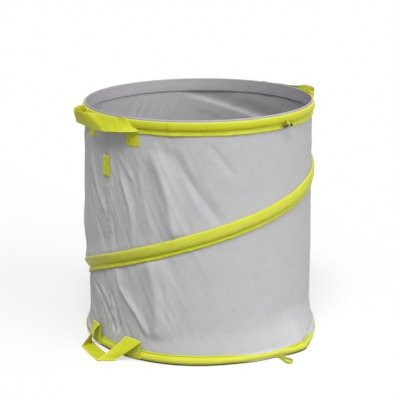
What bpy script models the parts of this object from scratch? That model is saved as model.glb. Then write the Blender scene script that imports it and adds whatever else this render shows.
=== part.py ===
"""Pop up leaf bag: a fabric bin held up by two wire hoops and one spiral spring in a sleeve.

Metres, +Z up. The bag's axis is Z and its floor panel lies on z = 0.
Angles are azimuths in degrees, counted from -Y towards +X.
"""
import math

import bmesh
import bpy
from mathutils import Vector

# Overall sizes
BAG_HEIGHT = 0.536
WALL_RADIUS = 0.2542
FOOT_FLARE = 0.0067
FLARE_START = 0.036
FLARE_KNEE = 0.025
FLARE_KNEE_SHARE = 0.64
FLARE_FOOT = 0.012

# Cloth, tape and wire
FABRIC_THICK = 0.0008
STRAP_THICK = 0.0012
STRAP_WIDTH = 0.034
TAPE_THICK = 0.0008
HOOP_WIRE_RADIUS = 0.0018
SPRING_WIRE_RADIUS = 0.0018

# Clearances
SEWN_GAP = 0.0003
WIRE_GAP = 0.0003

# Floor panel: a thinner sewn edge under the wall, and the field inside it
FLOOR_EDGE_THICK = 0.0016
FLOOR_FIELD_RISE = 0.0004
FLOOR_FIELD_INSET = 0.0030
FLOOR_OVERHANG = 0.0046

# Rim band outside the wall, with the top hoop in its upper half
RIM_BAND_DEPTH = 0.032
RIM_ARCH_DEPTH = 0.0065
RIM_ARCH_HALF = 0.0085
RIM_TOP_FLANGE = 0.0010
RIM_LIP = 0.0030
HEM_DEPTH = 0.031

# Base band, with the bottom hoop inside it
BASE_ARCH_DEPTH = 0.0068
BASE_ARCH_HALF = 0.0104

# Corner of the foot, where the bottom hoop's ends meet
FOOT_KINK = 0.0290
KINK_KNEE_SHARE = 0.86
KINK_START_SHARE = 0.62
KINK_TOP = 0.085
# Each row: azimuth, share of the full kink
FOOT_KINK_SHARES = (
    (10, 0.00),
    (15, 0.03),
    (20, 0.09),
    (25, 0.21),
    (30, 0.27),
    (35, 0.34),
    (40, 0.54),
    (45, 0.80),
    (50, 0.97),
    (55, 0.84),
    (60, 0.61),
    (65, 0.42),
    (70, 0.27),
    (75, 0.16),
    (80, 0.08),
    (85, 0.00),
)

# Spiral sleeve and its spring: an even climb, with one lift round the front
SPIRAL_START_DEG = -143.0
SPIRAL_STOP_DEG = 185.0
SPIRAL_START_HEIGHT = 0.0553
SPIRAL_STOP_DEPTH = 0.0539
SPIRAL_FRONT_LIFT = 0.021
SLEEVE_HALF = 0.0175
SLEEVE_ARCH_DEPTH = 0.0065
SLEEVE_ARCH_HALF = 0.0118
SLEEVE_ARCH_LIFT = 0.0047
WIRE_END_DEG = 2.0
CAP_LENGTH_DEG = 2.6
CAP_WALL = 0.0004
CAP_END = 0.0012

# Wire joint sleeves on the two hoops
FERRULE_WALL = 0.0004
FERRULE_HALF_DEG = 3.5
TOP_FERRULE_DEG = 150.0
BOTTOM_FERRULE_DEG = 50.0

# Side seam and its tag
SEAM_DEG = -49.0
SEAM_TAPE_WIDTH = 0.018
SEAM_TAPE_BOTTOM = 0.048
SEAM_TAPE_DEPTH = 0.034
TAG_WIDTH = 0.021
TAG_DEPTH = 0.091
TAG_LENGTH = 0.044

# Top handles: two straps, half a turn apart
TOP_TAB_DEGS = (-32.7, -64.6)
TOP_TAB_DEPTH = 0.0605
TOP_AXIS_DEPTH = 0.0010
TOP_LOOP_LIP = 0.0005
TOP_LOOP_REACH = 0.0258
# Each row: azimuth, reach share of the lower edge, reach share of the upper edge
TOP_LOOP_SHARES = (
    (-29.2, 0.00, 0.00),
    (-35.0, 0.04, 0.00),
    (-40.0, 0.12, 0.01),
    (-45.0, 0.25, 0.03),
    (-48.7, 0.30, 0.08),
    (-55.3, 0.42, 0.25),
    (-61.5, 0.62, 0.57),
    (-66.6, 0.93, 0.95),
    (-67.6, 0.97, 1.00),
    (-68.1, 0.90, 0.95),
    (-67.6, 0.62, 0.66),
    (-66.6, 0.34, 0.36),
    (-65.6, 0.06, 0.06),
)

# Bottom handle: one strap that lies out on the floor
BOTTOM_TAB_DEGS = (-32.7, -59.6)
BOTTOM_TAB_TOP = 0.0450
BOTTOM_TAB_FOOT = 0.0040
BOTTOM_FOLD_GAP = 0.0010
BOTTOM_LOOP_REACH = 0.0545
BOTTOM_LOOP_RISE = 0.0500
BOTTOM_AXIS_SHARE = 0.96
# Each row: two edges of the strap, each as azimuth, reach share, rise share
BOTTOM_LOOP_SHARES = (
    ((-36.5, 0.000, 0.860), (-28.9, 0.000, 0.860)),
    ((-36.7, 0.020, 0.980), (-28.8, 0.020, 0.950)),
    ((-37.0, 0.060, 0.960), (-28.7, 0.060, 0.930)),
    ((-39.2, 0.300, 0.690), (-31.2, 0.160, 0.690)),
    ((-42.0, 0.670, 0.360), (-35.0, 0.320, 0.360)),
    ((-43.8, 0.950, 0.088), (-38.3, 0.470, 0.088)),
    ((-43.9, 1.000, 0.056), (-38.3, 0.500, 0.056)),
    ((-44.0, 0.950, 0.024), (-38.5, 0.460, 0.024)),
    ((-51.5, 0.790, 0.024), (-50.0, 0.195, 0.024)),
    ((-59.2, 0.650, 0.024), (-62.6, 0.075, 0.024)),
    ((-59.9, 0.668, 0.056), (-63.6, 0.080, 0.056)),
    ((-59.7, 0.630, 0.100), (-63.5, 0.075, 0.100)),
    ((-58.2, 0.370, 0.480), (-63.6, 0.070, 0.500)),
    ((-56.6, 0.110, 0.860), (-63.5, 0.060, 0.900)),
    ((-55.9, 0.030, 0.970), (-63.4, 0.025, 0.975)),
    ((-55.8, 0.000, 0.860), (-63.4, 0.000, 0.860)),
)

# Closure loops at the base and toggles at the rim
CLOSURE_LOOP_DEG = 38.5
CLOSURE_LOOP_LENGTH = 0.046
CLOSURE_LOOP_HALF = 0.0060
CLOSURE_TAPE_WIDTH = 0.0060
CLOSURE_TAPE_FOOT = 0.0006
CLOSURE_ROOT_INSET = 0.0011
# Each row: share of the loop's length, share of its half width
CLOSURE_LOOP_SHARES = (
    (0.00, -0.30),
    (0.25, -0.40),
    (0.50, -0.72),
    (0.75, -1.00),
    (0.92, -0.78),
    (1.00, 0.00),
    (0.92, 0.78),
    (0.75, 1.00),
    (0.50, 0.72),
    (0.25, 0.40),
    (0.00, 0.30),
)
TOGGLE_DEG = 45.0
TOGGLE_LENGTH = 0.026
TOGGLE_RADIUS = 0.0035
TOGGLE_DEPTH = 0.0260
TOGGLE_STANDOFF = 0.0045
TOGGLE_TAPE_WIDTH = 0.0030
TOGGLE_TAPE_DROP = 0.0120
# Each row: share of the toggle's length, share of its radius
TOGGLE_SHARES = (
    (0.00, 0.55),
    (0.05, 0.90),
    (0.15, 1.00),
    (0.36, 0.88),
    (0.42, 0.62),
    (0.58, 0.62),
    (0.64, 0.88),
    (0.85, 1.00),
    (0.95, 0.90),
    (1.00, 0.55),
)
# Each row: share of the stand-off from the toggle's middle, share of the tape's drop
TOGGLE_TAPE_SHARES = (
    (-0.84, 1.00),
    (-0.30, 0.62),
    (0.50, 0.34),
    (0.68, 0.04),
    (0.50, -0.17),
    (0.00, -0.245),
    (-0.50, -0.17),
    (-0.66, 0.04),
    (-0.74, 0.36),
    (-0.84, 0.76),
)

# Mesh resolution
STEP_DEG = 5
FULL_TURN_DEG = 360
ARCH_STEPS = 6
WIRE_SIDES = 8
HOOP_SIDES = 6
TOGGLE_SIDES = 12
SMOOTH_DEG = 35

# Derived sizes
OUTER_FACE = WALL_RADIUS + SEWN_GAP
INNER_FACE = WALL_RADIUS - FABRIC_THICK - SEWN_GAP
FOOT_RADIUS = WALL_RADIUS + FOOT_FLARE
FLARE_KNEE_RADIUS = WALL_RADIUS + FOOT_FLARE * FLARE_KNEE_SHARE
FLOOR_RADIUS = FOOT_RADIUS + FLOOR_OVERHANG
FLOOR_FIELD_RADIUS = INNER_FACE - FLOOR_FIELD_INSET
FLOOR_FIELD_TOP = FLOOR_EDGE_THICK + FLOOR_FIELD_RISE
SPIRAL_START_COS = math.cos(math.radians(SPIRAL_START_DEG))
SPIRAL_STOP_COS = math.cos(math.radians(SPIRAL_STOP_DEG))
SPIRAL_FIRST = SPIRAL_START_HEIGHT - SPIRAL_FRONT_LIFT * SPIRAL_START_COS
SPIRAL_LAST = BAG_HEIGHT - SPIRAL_STOP_DEPTH - SPIRAL_FRONT_LIFT * SPIRAL_STOP_COS
SPIRAL_SPAN_DEG = SPIRAL_STOP_DEG - SPIRAL_START_DEG
RIM_BAND_BOTTOM = BAG_HEIGHT - RIM_BAND_DEPTH
RIM_BAND_TOP = BAG_HEIGHT - RIM_LIP - SEWN_GAP
RIM_ARCH_MIDDLE = RIM_BAND_TOP - RIM_TOP_FLANGE - RIM_ARCH_HALF
RIM_RADIUS = OUTER_FACE + RIM_ARCH_DEPTH
BASE_FACE = FOOT_RADIUS + SEWN_GAP
BASE_ARCH_MIDDLE = FLOOR_EDGE_THICK + SEWN_GAP + BASE_ARCH_HALF
BASE_RADIUS = BASE_FACE + BASE_ARCH_DEPTH
TOP_LOOP_RADIUS = RIM_RADIUS + SEWN_GAP + STRAP_THICK + SEWN_GAP + STRAP_THICK / 2
TOP_AXIS_HEIGHT = BAG_HEIGHT - TOP_AXIS_DEPTH
TOP_LOOP_TOP = TOP_AXIS_HEIGHT + TOP_LOOP_LIP
TOP_LOOP_BOTTOM = TOP_LOOP_TOP - STRAP_WIDTH + TOP_LOOP_LIP
BOTTOM_TAB_RADIUS = BASE_RADIUS + SEWN_GAP + STRAP_THICK
BOTTOM_LOOP_RADIUS = BOTTOM_TAB_RADIUS + BOTTOM_FOLD_GAP + STRAP_THICK / 2
BOTTOM_AXIS_HEIGHT = BOTTOM_AXIS_SHARE * BOTTOM_LOOP_RISE
HOOP_STANDOFF = HOOP_WIRE_RADIUS + WIRE_GAP + FERRULE_WALL + WIRE_GAP
SPRING_STANDOFF = SPRING_WIRE_RADIUS + WIRE_GAP + CAP_WALL + WIRE_GAP
TOGGLE_SEAT = RIM_RADIUS + TOGGLE_STANDOFF


def clear_scene():
    for item in list(bpy.data.objects):
        bpy.data.objects.remove(item, do_unlink=True)


def make_material(name, colour, roughness, metallic=0.0):
    material = bpy.data.materials.new(name)
    material.use_nodes = True
    shader = material.node_tree.nodes["Principled BSDF"]
    shader.inputs["Base Color"].default_value = (*colour, 1.0)
    shader.inputs["Roughness"].default_value = roughness
    shader.inputs["Metallic"].default_value = metallic
    material.diffuse_color = (*colour, 1.0)
    return material


def at(azimuth, radius, height):
    """Point at an azimuth in degrees, a radius and a height."""
    turn = math.radians(azimuth)
    return Vector((radius * math.sin(turn), -radius * math.cos(turn), height))


def width_in_degrees(width, radius):
    return math.degrees(width / radius)


def stations(start, stop):
    """Azimuths from start to stop that include every corner of the faceted wall."""
    first = math.floor(start / STEP_DEG) + 1
    last = math.ceil(stop / STEP_DEG) - 1
    between = [STEP_DEG * n for n in range(first, last + 1)]
    return [start, *between, stop]


def circle(radius, sides):
    """Corners of a round section, as (outward, upward) offsets."""
    turns = [math.tau * n / sides for n in range(sides)]
    return [(radius * math.cos(t), radius * math.sin(t)) for t in turns]


def finish(bm, name, material, origin=None):
    """Turn a bmesh into a smooth shaded object, with its origin at a given point."""
    bmesh.ops.recalc_face_normals(bm, faces=bm.faces)
    if origin is not None:
        bmesh.ops.translate(bm, verts=bm.verts, vec=-origin)
    mesh = bpy.data.meshes.new(name)
    bm.to_mesh(mesh)
    bm.free()
    mesh.materials.append(material)
    mesh.shade_smooth()
    mesh.set_sharp_from_angle(angle=math.radians(SMOOTH_DEG))
    made = bpy.data.objects.new(name, mesh)
    bpy.context.collection.objects.link(made)
    if origin is not None:
        made.location = origin
    return made


def loft(sections, closed=False):
    """Skin a row of equal sections; an open row gets a face at each end."""
    bm = bmesh.new()
    rows = [[bm.verts.new(p) for p in section] for section in sections]
    pairs = list(zip(rows, rows[1:]))
    if closed:
        pairs.append((rows[-1], rows[0]))
    for near, far in pairs:
        for n in range(len(near)):
            bm.faces.new((near[n - 1], near[n], far[n], far[n - 1]))
    if not closed:
        bm.faces.new(rows[0])
        bm.faces.new(rows[-1])
    return bm


def ring(name, outline, material):
    """Spin a closed (radius, height) outline once round the bag's axis."""
    bm = bmesh.new()
    corners = [bm.verts.new(at(0, radius, height)) for radius, height in outline]
    edges = [bm.edges.new((corners[n - 1], corners[n])) for n in range(len(corners))]
    bmesh.ops.spin(
        bm,
        geom=corners + edges,
        cent=(0, 0, 0),
        axis=(0, 0, 1),
        angle=math.tau,
        steps=FULL_TURN_DEG // STEP_DEG,
        use_merge=True,
    )
    return finish(bm, name, material)


def foot_kink(azimuth):
    """How far the foot stands out of its circle at an azimuth, beside the hoop's joint."""
    for (low, share), (high, further) in zip(FOOT_KINK_SHARES, FOOT_KINK_SHARES[1:]):
        if low <= azimuth <= high:
            return FOOT_KINK * (share + (further - share) * (azimuth - low) / (high - low))
    return 0


def foot_ring(name, outline, material):
    """Sweep a closed outline of (radius, height, share of the kink) round the bag."""
    sections = []
    for azimuth in range(0, FULL_TURN_DEG, STEP_DEG):
        kink = foot_kink(azimuth)
        sections.append([at(azimuth, r + share * kink, h) for r, h, share in outline])
    return finish(loft(sections, closed=True), name, material)


def patch(name, outline, start, stop, material):
    """Sweep a closed (radius, height) outline part of the way round the bag."""
    sections = [[at(a, r, h) for r, h in outline] for a in stations(start, stop)]
    return finish(loft(sections), name, material)


def ribbon(name, edges, thick, material, origin=None):
    """A strap from pairs of edge points; its thickness stands square to its run."""
    middles = [(p + q) / 2 for p, q in edges]
    last = len(edges) - 1
    sections = []
    for n, (p, q) in enumerate(edges):
        run = middles[min(n + 1, last)] - middles[max(n - 1, 0)]
        half = (q - p).cross(run).normalized() * thick / 2
        sections.append([p - half, q - half, q + half, p + half])
    return finish(loft(sections), name, material, origin)


def arch_points(face, middle, depth, half):
    """Half ellipse that stands out from a face, from its lower end to its upper end."""
    turns = [math.pi * (n / ARCH_STEPS - 1 / 2) for n in range(ARCH_STEPS + 1)]
    return [(face + depth * math.cos(t), middle + half * math.sin(t)) for t in turns]


def band_outline(face, thick, bottom, top, middle, depth, half):
    """Tape band on a face, arched over a wire; bottom and top are the flat edges."""
    outer = arch_points(face + thick, middle, depth - thick, half)
    inner = arch_points(face, middle, depth - thick, half - thick)
    outer = [(face + thick, bottom), *outer, (face + thick, top)]
    inner = [(face, bottom), *inner, (face, top)]
    return outer + inner[::-1]


def spiral_height(azimuth):
    """Height of the spiral sleeve's middle at an azimuth."""
    share = (azimuth - SPIRAL_START_DEG) / SPIRAL_SPAN_DEG
    lift = SPIRAL_FRONT_LIFT * math.cos(math.radians(azimuth))
    return SPIRAL_FIRST + (SPIRAL_LAST - SPIRAL_FIRST) * share + lift


def spiral_sections(outline, azimuths):
    return [[at(a, r, spiral_height(a) + h) for r, h in outline] for a in azimuths]


def wire_section(azimuth, radius, centre_radius, centre_height, sides):
    rounds = circle(radius, sides)
    return [at(azimuth, centre_radius + r, centre_height + h) for r, h in rounds]


def build_wall(cloth):
    """One cloth tube with its flared foot."""
    outer = [
        (FOOT_RADIUS, FLOOR_EDGE_THICK + SEWN_GAP, 1),
        (FOOT_RADIUS, FLARE_FOOT, 1),
        (FLARE_KNEE_RADIUS, FLARE_KNEE, KINK_KNEE_SHARE),
        (WALL_RADIUS, FLARE_START, KINK_START_SHARE),
        (WALL_RADIUS, KINK_TOP, 0),
        (WALL_RADIUS, BAG_HEIGHT - FABRIC_THICK - SEWN_GAP, 0),
    ]
    inner = [(r - FABRIC_THICK, h, share) for r, h, share in outer]
    foot_ring("wall_fabric", outer + inner[::-1], cloth)


def build_floor(panel):
    """Flat round panel that the bag stands on; its edge is pressed thinner to be sewn."""
    outline = (
        (FLOOR_RADIUS, 0, 1),
        (FLOOR_RADIUS, FLOOR_EDGE_THICK, 1),
        (FLOOR_FIELD_RADIUS, FLOOR_EDGE_THICK, 0),
        (FLOOR_FIELD_RADIUS, FLOOR_FIELD_TOP, 0),
    )
    azimuths = range(0, FULL_TURN_DEG, STEP_DEG)
    rounds = [[at(a, r + share * foot_kink(a), h) for a in azimuths] for r, h, share in outline]
    finish(loft(rounds), "floor_panel", panel)


def build_seam(cloth, tape):
    """Tape behind the side seam, and the plain tag sewn into it."""
    half = width_in_degrees(SEAM_TAPE_WIDTH, INNER_FACE) / 2
    tape_top = BAG_HEIGHT - SEAM_TAPE_DEPTH
    back = [
        (INNER_FACE - TAPE_THICK, SEAM_TAPE_BOTTOM),
        (INNER_FACE, SEAM_TAPE_BOTTOM),
        (INNER_FACE, tape_top),
        (INNER_FACE - TAPE_THICK, tape_top),
    ]
    patch("wall_seam_tape", back, SEAM_DEG - half, SEAM_DEG + half, cloth)
    tag_top = BAG_HEIGHT - TAG_DEPTH
    tag_bottom = tag_top - TAG_LENGTH
    front = [
        (OUTER_FACE, tag_bottom),
        (OUTER_FACE + TAPE_THICK, tag_bottom),
        (OUTER_FACE + TAPE_THICK, tag_top),
        (OUTER_FACE, tag_top),
    ]
    far = SEAM_DEG - width_in_degrees(TAG_WIDTH, OUTER_FACE)
    patch("side_tag", front, far, SEAM_DEG, tape)


def build_rim(cloth, tape):
    """Hem folded over the wall's top edge, and the tape band that holds the hoop."""
    hem_in = INNER_FACE - FABRIC_THICK
    lip_out = OUTER_FACE + FABRIC_THICK
    hem_bottom = BAG_HEIGHT - HEM_DEPTH
    lip_bottom = BAG_HEIGHT - RIM_LIP
    fold = BAG_HEIGHT - FABRIC_THICK
    hem = [
        (hem_in, hem_bottom),
        (INNER_FACE, hem_bottom),
        (INNER_FACE, fold),
        (OUTER_FACE, fold),
        (OUTER_FACE, lip_bottom),
        (lip_out, lip_bottom),
        (lip_out, BAG_HEIGHT),
        (hem_in, BAG_HEIGHT),
    ]
    ring("rim_inner_hem", hem, cloth)
    band = band_outline(
        OUTER_FACE,
        TAPE_THICK,
        RIM_BAND_BOTTOM,
        RIM_BAND_TOP,
        RIM_ARCH_MIDDLE,
        RIM_ARCH_DEPTH,
        RIM_ARCH_HALF,
    )
    ring("rim_binding", band, tape)


def build_base_band(tape):
    """Rounded tape band round the foot, from the floor up to the flare."""
    outer = arch_points(BASE_FACE, BASE_ARCH_MIDDLE, BASE_ARCH_DEPTH, BASE_ARCH_HALF)
    inner = arch_points(
        BASE_FACE,
        BASE_ARCH_MIDDLE,
        BASE_ARCH_DEPTH - TAPE_THICK,
        BASE_ARCH_HALF - TAPE_THICK,
    )
    outline = [(r, h, 1) for r, h in outer + inner[::-1]]
    foot_ring("base_binding", outline, tape)


def build_hoop(name, centre_radius, centre_height, kink_share, joint_deg, wire):
    """Wire hoop and the crimped tube over its joint."""
    rounds = circle(HOOP_WIRE_RADIUS, HOOP_SIDES)
    outline = [(centre_radius + r, centre_height + h, kink_share) for r, h in rounds]
    foot_ring(f"{name}_hoop_wire", outline, wire)
    bore = HOOP_WIRE_RADIUS + WIRE_GAP
    rows = []
    for step in stations(joint_deg - FERRULE_HALF_DEG, joint_deg + FERRULE_HALF_DEG):
        rows.append((step, bore))
    back = [(step, bore + FERRULE_WALL) for step, _ in reversed(rows)]
    sections = []
    for step, radius in rows + back:
        centre = centre_radius + kink_share * foot_kink(step)
        sections.append(wire_section(step, radius, centre, centre_height, HOOP_SIDES))
    finish(loft(sections, closed=True), f"{name}_hoop_ferrule", wire)


def build_sleeve(tape):
    """Spiral tape band, arched over the spring."""
    outline = band_outline(
        OUTER_FACE,
        TAPE_THICK,
        -SLEEVE_HALF,
        SLEEVE_HALF,
        SLEEVE_ARCH_LIFT,
        SLEEVE_ARCH_DEPTH,
        SLEEVE_ARCH_HALF,
    )
    azimuths = stations(SPIRAL_START_DEG, SPIRAL_STOP_DEG)
    finish(loft(spiral_sections(outline, azimuths)), "spiral_sleeve", tape)


def spring_section(azimuth, radius):
    centre = OUTER_FACE + SPRING_STANDOFF
    height = spiral_height(azimuth) + SLEEVE_ARCH_LIFT
    return wire_section(azimuth, radius, centre, height, WIRE_SIDES)


def build_spring(wire, cap):
    """Spring wire that runs inside the sleeve, with a cup over each cut end."""
    start = SPIRAL_START_DEG + WIRE_END_DEG
    stop = SPIRAL_STOP_DEG - WIRE_END_DEG
    rows = [spring_section(a, SPRING_WIRE_RADIUS) for a in stations(start, stop)]
    finish(loft(rows), "spiral_spring_wire", wire)
    build_cup("spring_cup_bottom", start, -1, cap)
    build_cup("spring_cup_top", stop, 1, cap)


def build_cup(name, tip, way, cap):
    """Cup over a wire end at azimuth tip; way is the side on which the wire ends."""
    bore = SPRING_WIRE_RADIUS + WIRE_GAP
    outside = bore + CAP_WALL
    mouth = tip - way * CAP_LENGTH_DEG / 2
    deep = tip + way * width_in_degrees(SEWN_GAP, OUTER_FACE)
    closed_end = deep + way * width_in_degrees(CAP_END, OUTER_FACE)
    rows = ((deep, bore), (mouth, bore), (mouth, outside), (closed_end, outside))
    finish(loft([spring_section(a, r) for a, r in rows]), name, cap)


def top_tab_outline():
    """Strap end that lies on the wall, steps over the rim band and follows its arch."""
    wall_in = OUTER_FACE
    wall_out = wall_in + STRAP_THICK
    band_in = OUTER_FACE + TAPE_THICK + SEWN_GAP
    band_out = band_in + STRAP_THICK
    depth = RIM_ARCH_DEPTH - TAPE_THICK
    inner = arch_points(band_in, RIM_ARCH_MIDDLE, depth, RIM_ARCH_HALF + SEWN_GAP)
    outer = arch_points(
        band_out,
        RIM_ARCH_MIDDLE,
        depth,
        RIM_ARCH_HALF + SEWN_GAP + STRAP_THICK,
    )
    tab_bottom = BAG_HEIGHT - TOP_TAB_DEPTH
    step_in = RIM_BAND_BOTTOM - SEWN_GAP
    step_wall = step_in - STRAP_THICK
    near = [(wall_in, tab_bottom), (wall_in, step_wall), (band_in, step_in)]
    far = [(wall_out, tab_bottom), (wall_out, step_wall), (band_out, step_in)]
    return far + outer[:-1] + inner[:-1][::-1] + near[::-1]


def build_top_handle(side, turn, tape):
    """Two sewn ends on the rim and the free loop between them, which lifts."""
    half = width_in_degrees(STRAP_WIDTH, OUTER_FACE) / 2
    for word, middle in zip(("front", "rear"), TOP_TAB_DEGS):
        name = f"top_handle_{side}_end_{word}"
        patch(name, top_tab_outline(), middle + turn - half, middle + turn + half, tape)
    edges = []
    for azimuth, low, high in TOP_LOOP_SHARES:
        lower = at(azimuth + turn, TOP_LOOP_RADIUS + low * TOP_LOOP_REACH, TOP_LOOP_BOTTOM)
        upper = at(azimuth + turn, TOP_LOOP_RADIUS + high * TOP_LOOP_REACH, TOP_LOOP_TOP)
        edges.append((lower, upper))
    pivots = [at(a + turn, TOP_LOOP_RADIUS, TOP_AXIS_HEIGHT) for a in TOP_TAB_DEGS]
    origin = (pivots[0] + pivots[1]) / 2
    ribbon(f"top_handle_{side}_loop", edges, STRAP_THICK, tape, origin)


def build_bottom_handle(tape):
    """Two ends sewn on the base band and the free loop that lies on the floor."""
    inside = BOTTOM_TAB_RADIUS - STRAP_THICK
    end = [
        (inside, BOTTOM_TAB_FOOT),
        (BOTTOM_TAB_RADIUS, BOTTOM_TAB_FOOT),
        (BOTTOM_TAB_RADIUS, BOTTOM_TAB_TOP),
        (inside, BOTTOM_TAB_TOP),
    ]
    half = width_in_degrees(STRAP_WIDTH, BOTTOM_TAB_RADIUS) / 2
    for word, middle in zip(("front", "rear"), BOTTOM_TAB_DEGS):
        patch(f"bottom_handle_end_{word}", end, middle - half, middle + half, tape)
    edges = []
    for row in BOTTOM_LOOP_SHARES:
        pair = [
            at(a, BOTTOM_LOOP_RADIUS + reach * BOTTOM_LOOP_REACH, rise * BOTTOM_LOOP_RISE)
            for a, reach, rise in row
        ]
        edges.append(tuple(pair))
    pivots = [at(a, BOTTOM_LOOP_RADIUS, BOTTOM_AXIS_HEIGHT) for a in BOTTOM_TAB_DEGS]
    origin = (pivots[0] + pivots[1]) / 2
    ribbon("bottom_handle_loop", edges, STRAP_THICK, tape, origin)


def build_closure_loop(name, azimuth, tape):
    """Narrow tape loop on edge, sewn under the base band, clear of where the foot turns out."""
    out = at(azimuth, 1, 0)
    side = Vector((-out.y, out.x, 0))
    root_kink = foot_kink(azimuth + width_in_degrees(CLOSURE_LOOP_HALF, BASE_RADIUS) / 2)
    seat = BASE_RADIUS + SEWN_GAP - CLOSURE_ROOT_INSET + root_kink
    root = at(azimuth, seat, CLOSURE_TAPE_FOOT)
    rise = Vector((0, 0, CLOSURE_TAPE_WIDTH))
    edges = []
    for along, across in CLOSURE_LOOP_SHARES:
        run = along * CLOSURE_LOOP_LENGTH
        foot = root + out * run + side * across * CLOSURE_LOOP_HALF
        edges.append((foot, foot + rise))
    ribbon(name, edges, TAPE_THICK, tape, root)


def build_toggle(word, azimuth, tape, plastic):
    """Moulded peg that hangs in a small tape loop on the rim band."""
    out = at(azimuth, 1, 0)
    side = Vector((-out.y, out.x, 0))
    up = Vector((0, 0, 1))
    middle = at(azimuth, TOGGLE_SEAT, BAG_HEIGHT - TOGGLE_DEPTH)
    sections = []
    for along, wide in TOGGLE_SHARES:
        centre = middle + side * (along - 1 / 2) * TOGGLE_LENGTH
        rounds = circle(wide * TOGGLE_RADIUS, TOGGLE_SIDES)
        sections.append([centre + out * r + up * h for r, h in rounds])
    pivot = at(azimuth, RIM_RADIUS, BAG_HEIGHT - TOGGLE_DEPTH + TOGGLE_TAPE_DROP)
    finish(loft(sections), f"closure_toggle_{word}", plastic, pivot)
    edges = []
    for reach, drop in TOGGLE_TAPE_SHARES:
        centre = middle + out * reach * TOGGLE_STANDOFF + up * drop * TOGGLE_TAPE_DROP
        half = side * TOGGLE_TAPE_WIDTH / 2
        edges.append((centre - half, centre + half))
    ribbon(f"toggle_tape_{word}", edges, TAPE_THICK, tape, pivot)


def main():
    clear_scene()
    cloth = make_material("grey_cloth", (0.47, 0.47, 0.48), 0.85)
    panel = make_material("dark_floor_cloth", (0.05, 0.05, 0.055), 0.8)
    tape = make_material("lime_tape", (0.62, 0.68, 0.05), 0.7)
    wire = make_material("spring_steel", (0.55, 0.56, 0.58), 0.35, 1.0)
    cap = make_material("black_vinyl", (0.03, 0.03, 0.03), 0.5)
    plastic = make_material("black_toggle_plastic", (0.04, 0.04, 0.04), 0.4)

    build_wall(cloth)
    build_floor(panel)
    build_seam(cloth, tape)
    build_rim(cloth, tape)
    build_base_band(tape)
    hoop_radius = OUTER_FACE + HOOP_STANDOFF
    build_hoop("top", hoop_radius, RIM_ARCH_MIDDLE, 0, TOP_FERRULE_DEG, wire)
    foot_radius = BASE_FACE + HOOP_STANDOFF
    build_hoop("bottom", foot_radius, BASE_ARCH_MIDDLE, 1, BOTTOM_FERRULE_DEG, wire)
    build_sleeve(tape)
    build_spring(wire, cap)
    half_turn = FULL_TURN_DEG / 2
    for side, turn in (("left", 0), ("right", half_turn)):
        build_top_handle(side, turn, tape)
    build_bottom_handle(tape)
    for word, turn in (("front", 0), ("rear", half_turn)):
        build_closure_loop(f"closure_loop_{word}", CLOSURE_LOOP_DEG + turn, tape)
        build_toggle(word, TOGGLE_DEG + turn, tape, plastic)


main()
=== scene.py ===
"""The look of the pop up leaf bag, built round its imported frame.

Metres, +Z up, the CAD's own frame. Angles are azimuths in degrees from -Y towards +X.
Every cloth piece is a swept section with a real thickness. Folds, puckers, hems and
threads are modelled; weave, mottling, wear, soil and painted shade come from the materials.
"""

import math

import bpy
import numpy as np
from mathutils import Matrix, Vector


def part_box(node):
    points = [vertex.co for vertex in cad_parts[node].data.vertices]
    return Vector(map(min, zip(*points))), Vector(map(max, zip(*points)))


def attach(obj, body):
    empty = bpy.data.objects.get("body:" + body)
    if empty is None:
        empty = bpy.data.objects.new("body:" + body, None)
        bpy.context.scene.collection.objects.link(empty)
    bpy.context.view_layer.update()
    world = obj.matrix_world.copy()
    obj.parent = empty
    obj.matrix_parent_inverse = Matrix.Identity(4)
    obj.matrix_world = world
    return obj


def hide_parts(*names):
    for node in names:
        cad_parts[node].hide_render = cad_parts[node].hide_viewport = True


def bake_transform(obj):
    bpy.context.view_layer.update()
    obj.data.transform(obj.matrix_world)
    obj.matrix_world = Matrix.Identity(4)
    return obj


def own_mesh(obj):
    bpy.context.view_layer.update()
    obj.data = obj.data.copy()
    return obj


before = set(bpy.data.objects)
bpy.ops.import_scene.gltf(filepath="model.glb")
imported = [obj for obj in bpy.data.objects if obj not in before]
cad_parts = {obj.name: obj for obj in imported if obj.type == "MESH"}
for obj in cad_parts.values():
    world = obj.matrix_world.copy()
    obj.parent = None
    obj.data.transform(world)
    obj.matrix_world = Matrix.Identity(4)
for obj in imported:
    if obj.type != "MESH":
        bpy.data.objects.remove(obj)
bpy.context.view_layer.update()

# Cloth and tape
FABRIC_THICK = 0.0008
STRAP_THICK = 0.0013
STRAP_WIDTH = 0.034
STRAP_COLUMNS = 13
TAPE_COLUMNS = 7
TAPE_THICK = 0.0008
LAYER_GAP = 0.0003

# Sizes read from the frame
RIM_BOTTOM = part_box("rim_binding")[0].z
RIM_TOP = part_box("rim_binding")[1].z
RIM_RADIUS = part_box("rim_binding")[1].x
HEM_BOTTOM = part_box("rim_inner_hem")[0].z
BAG_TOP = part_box("rim_inner_hem")[1].z
OUTER_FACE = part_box("rim_inner_hem")[1].x - FABRIC_THICK
BASE_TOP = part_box("base_binding")[1].z
BASE_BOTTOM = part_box("base_binding")[0].z
BASE_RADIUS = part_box("base_binding")[1].x
WALL_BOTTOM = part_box("wall_fabric")[0].z
WALL_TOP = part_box("wall_fabric")[1].z
FOOT_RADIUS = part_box("wall_fabric")[1].x
FLOOR_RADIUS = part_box("floor_panel")[1].x
FLOOR_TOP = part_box("floor_panel")[1].z
TAG_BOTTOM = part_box("side_tag")[0].z
TAG_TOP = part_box("side_tag")[1].z
WALL_RADIUS = OUTER_FACE - LAYER_GAP
INNER_FACE = WALL_RADIUS - FABRIC_THICK - LAYER_GAP
BASE_FACE = FOOT_RADIUS + LAYER_GAP

# The wall's foot stays with the base and its top with the rim; the shell between them goes with the
# base
SHELL_LOW = 0.0245
SHELL_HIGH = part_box("top_handle_left_end_front")[0].z - 0.0010

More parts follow.
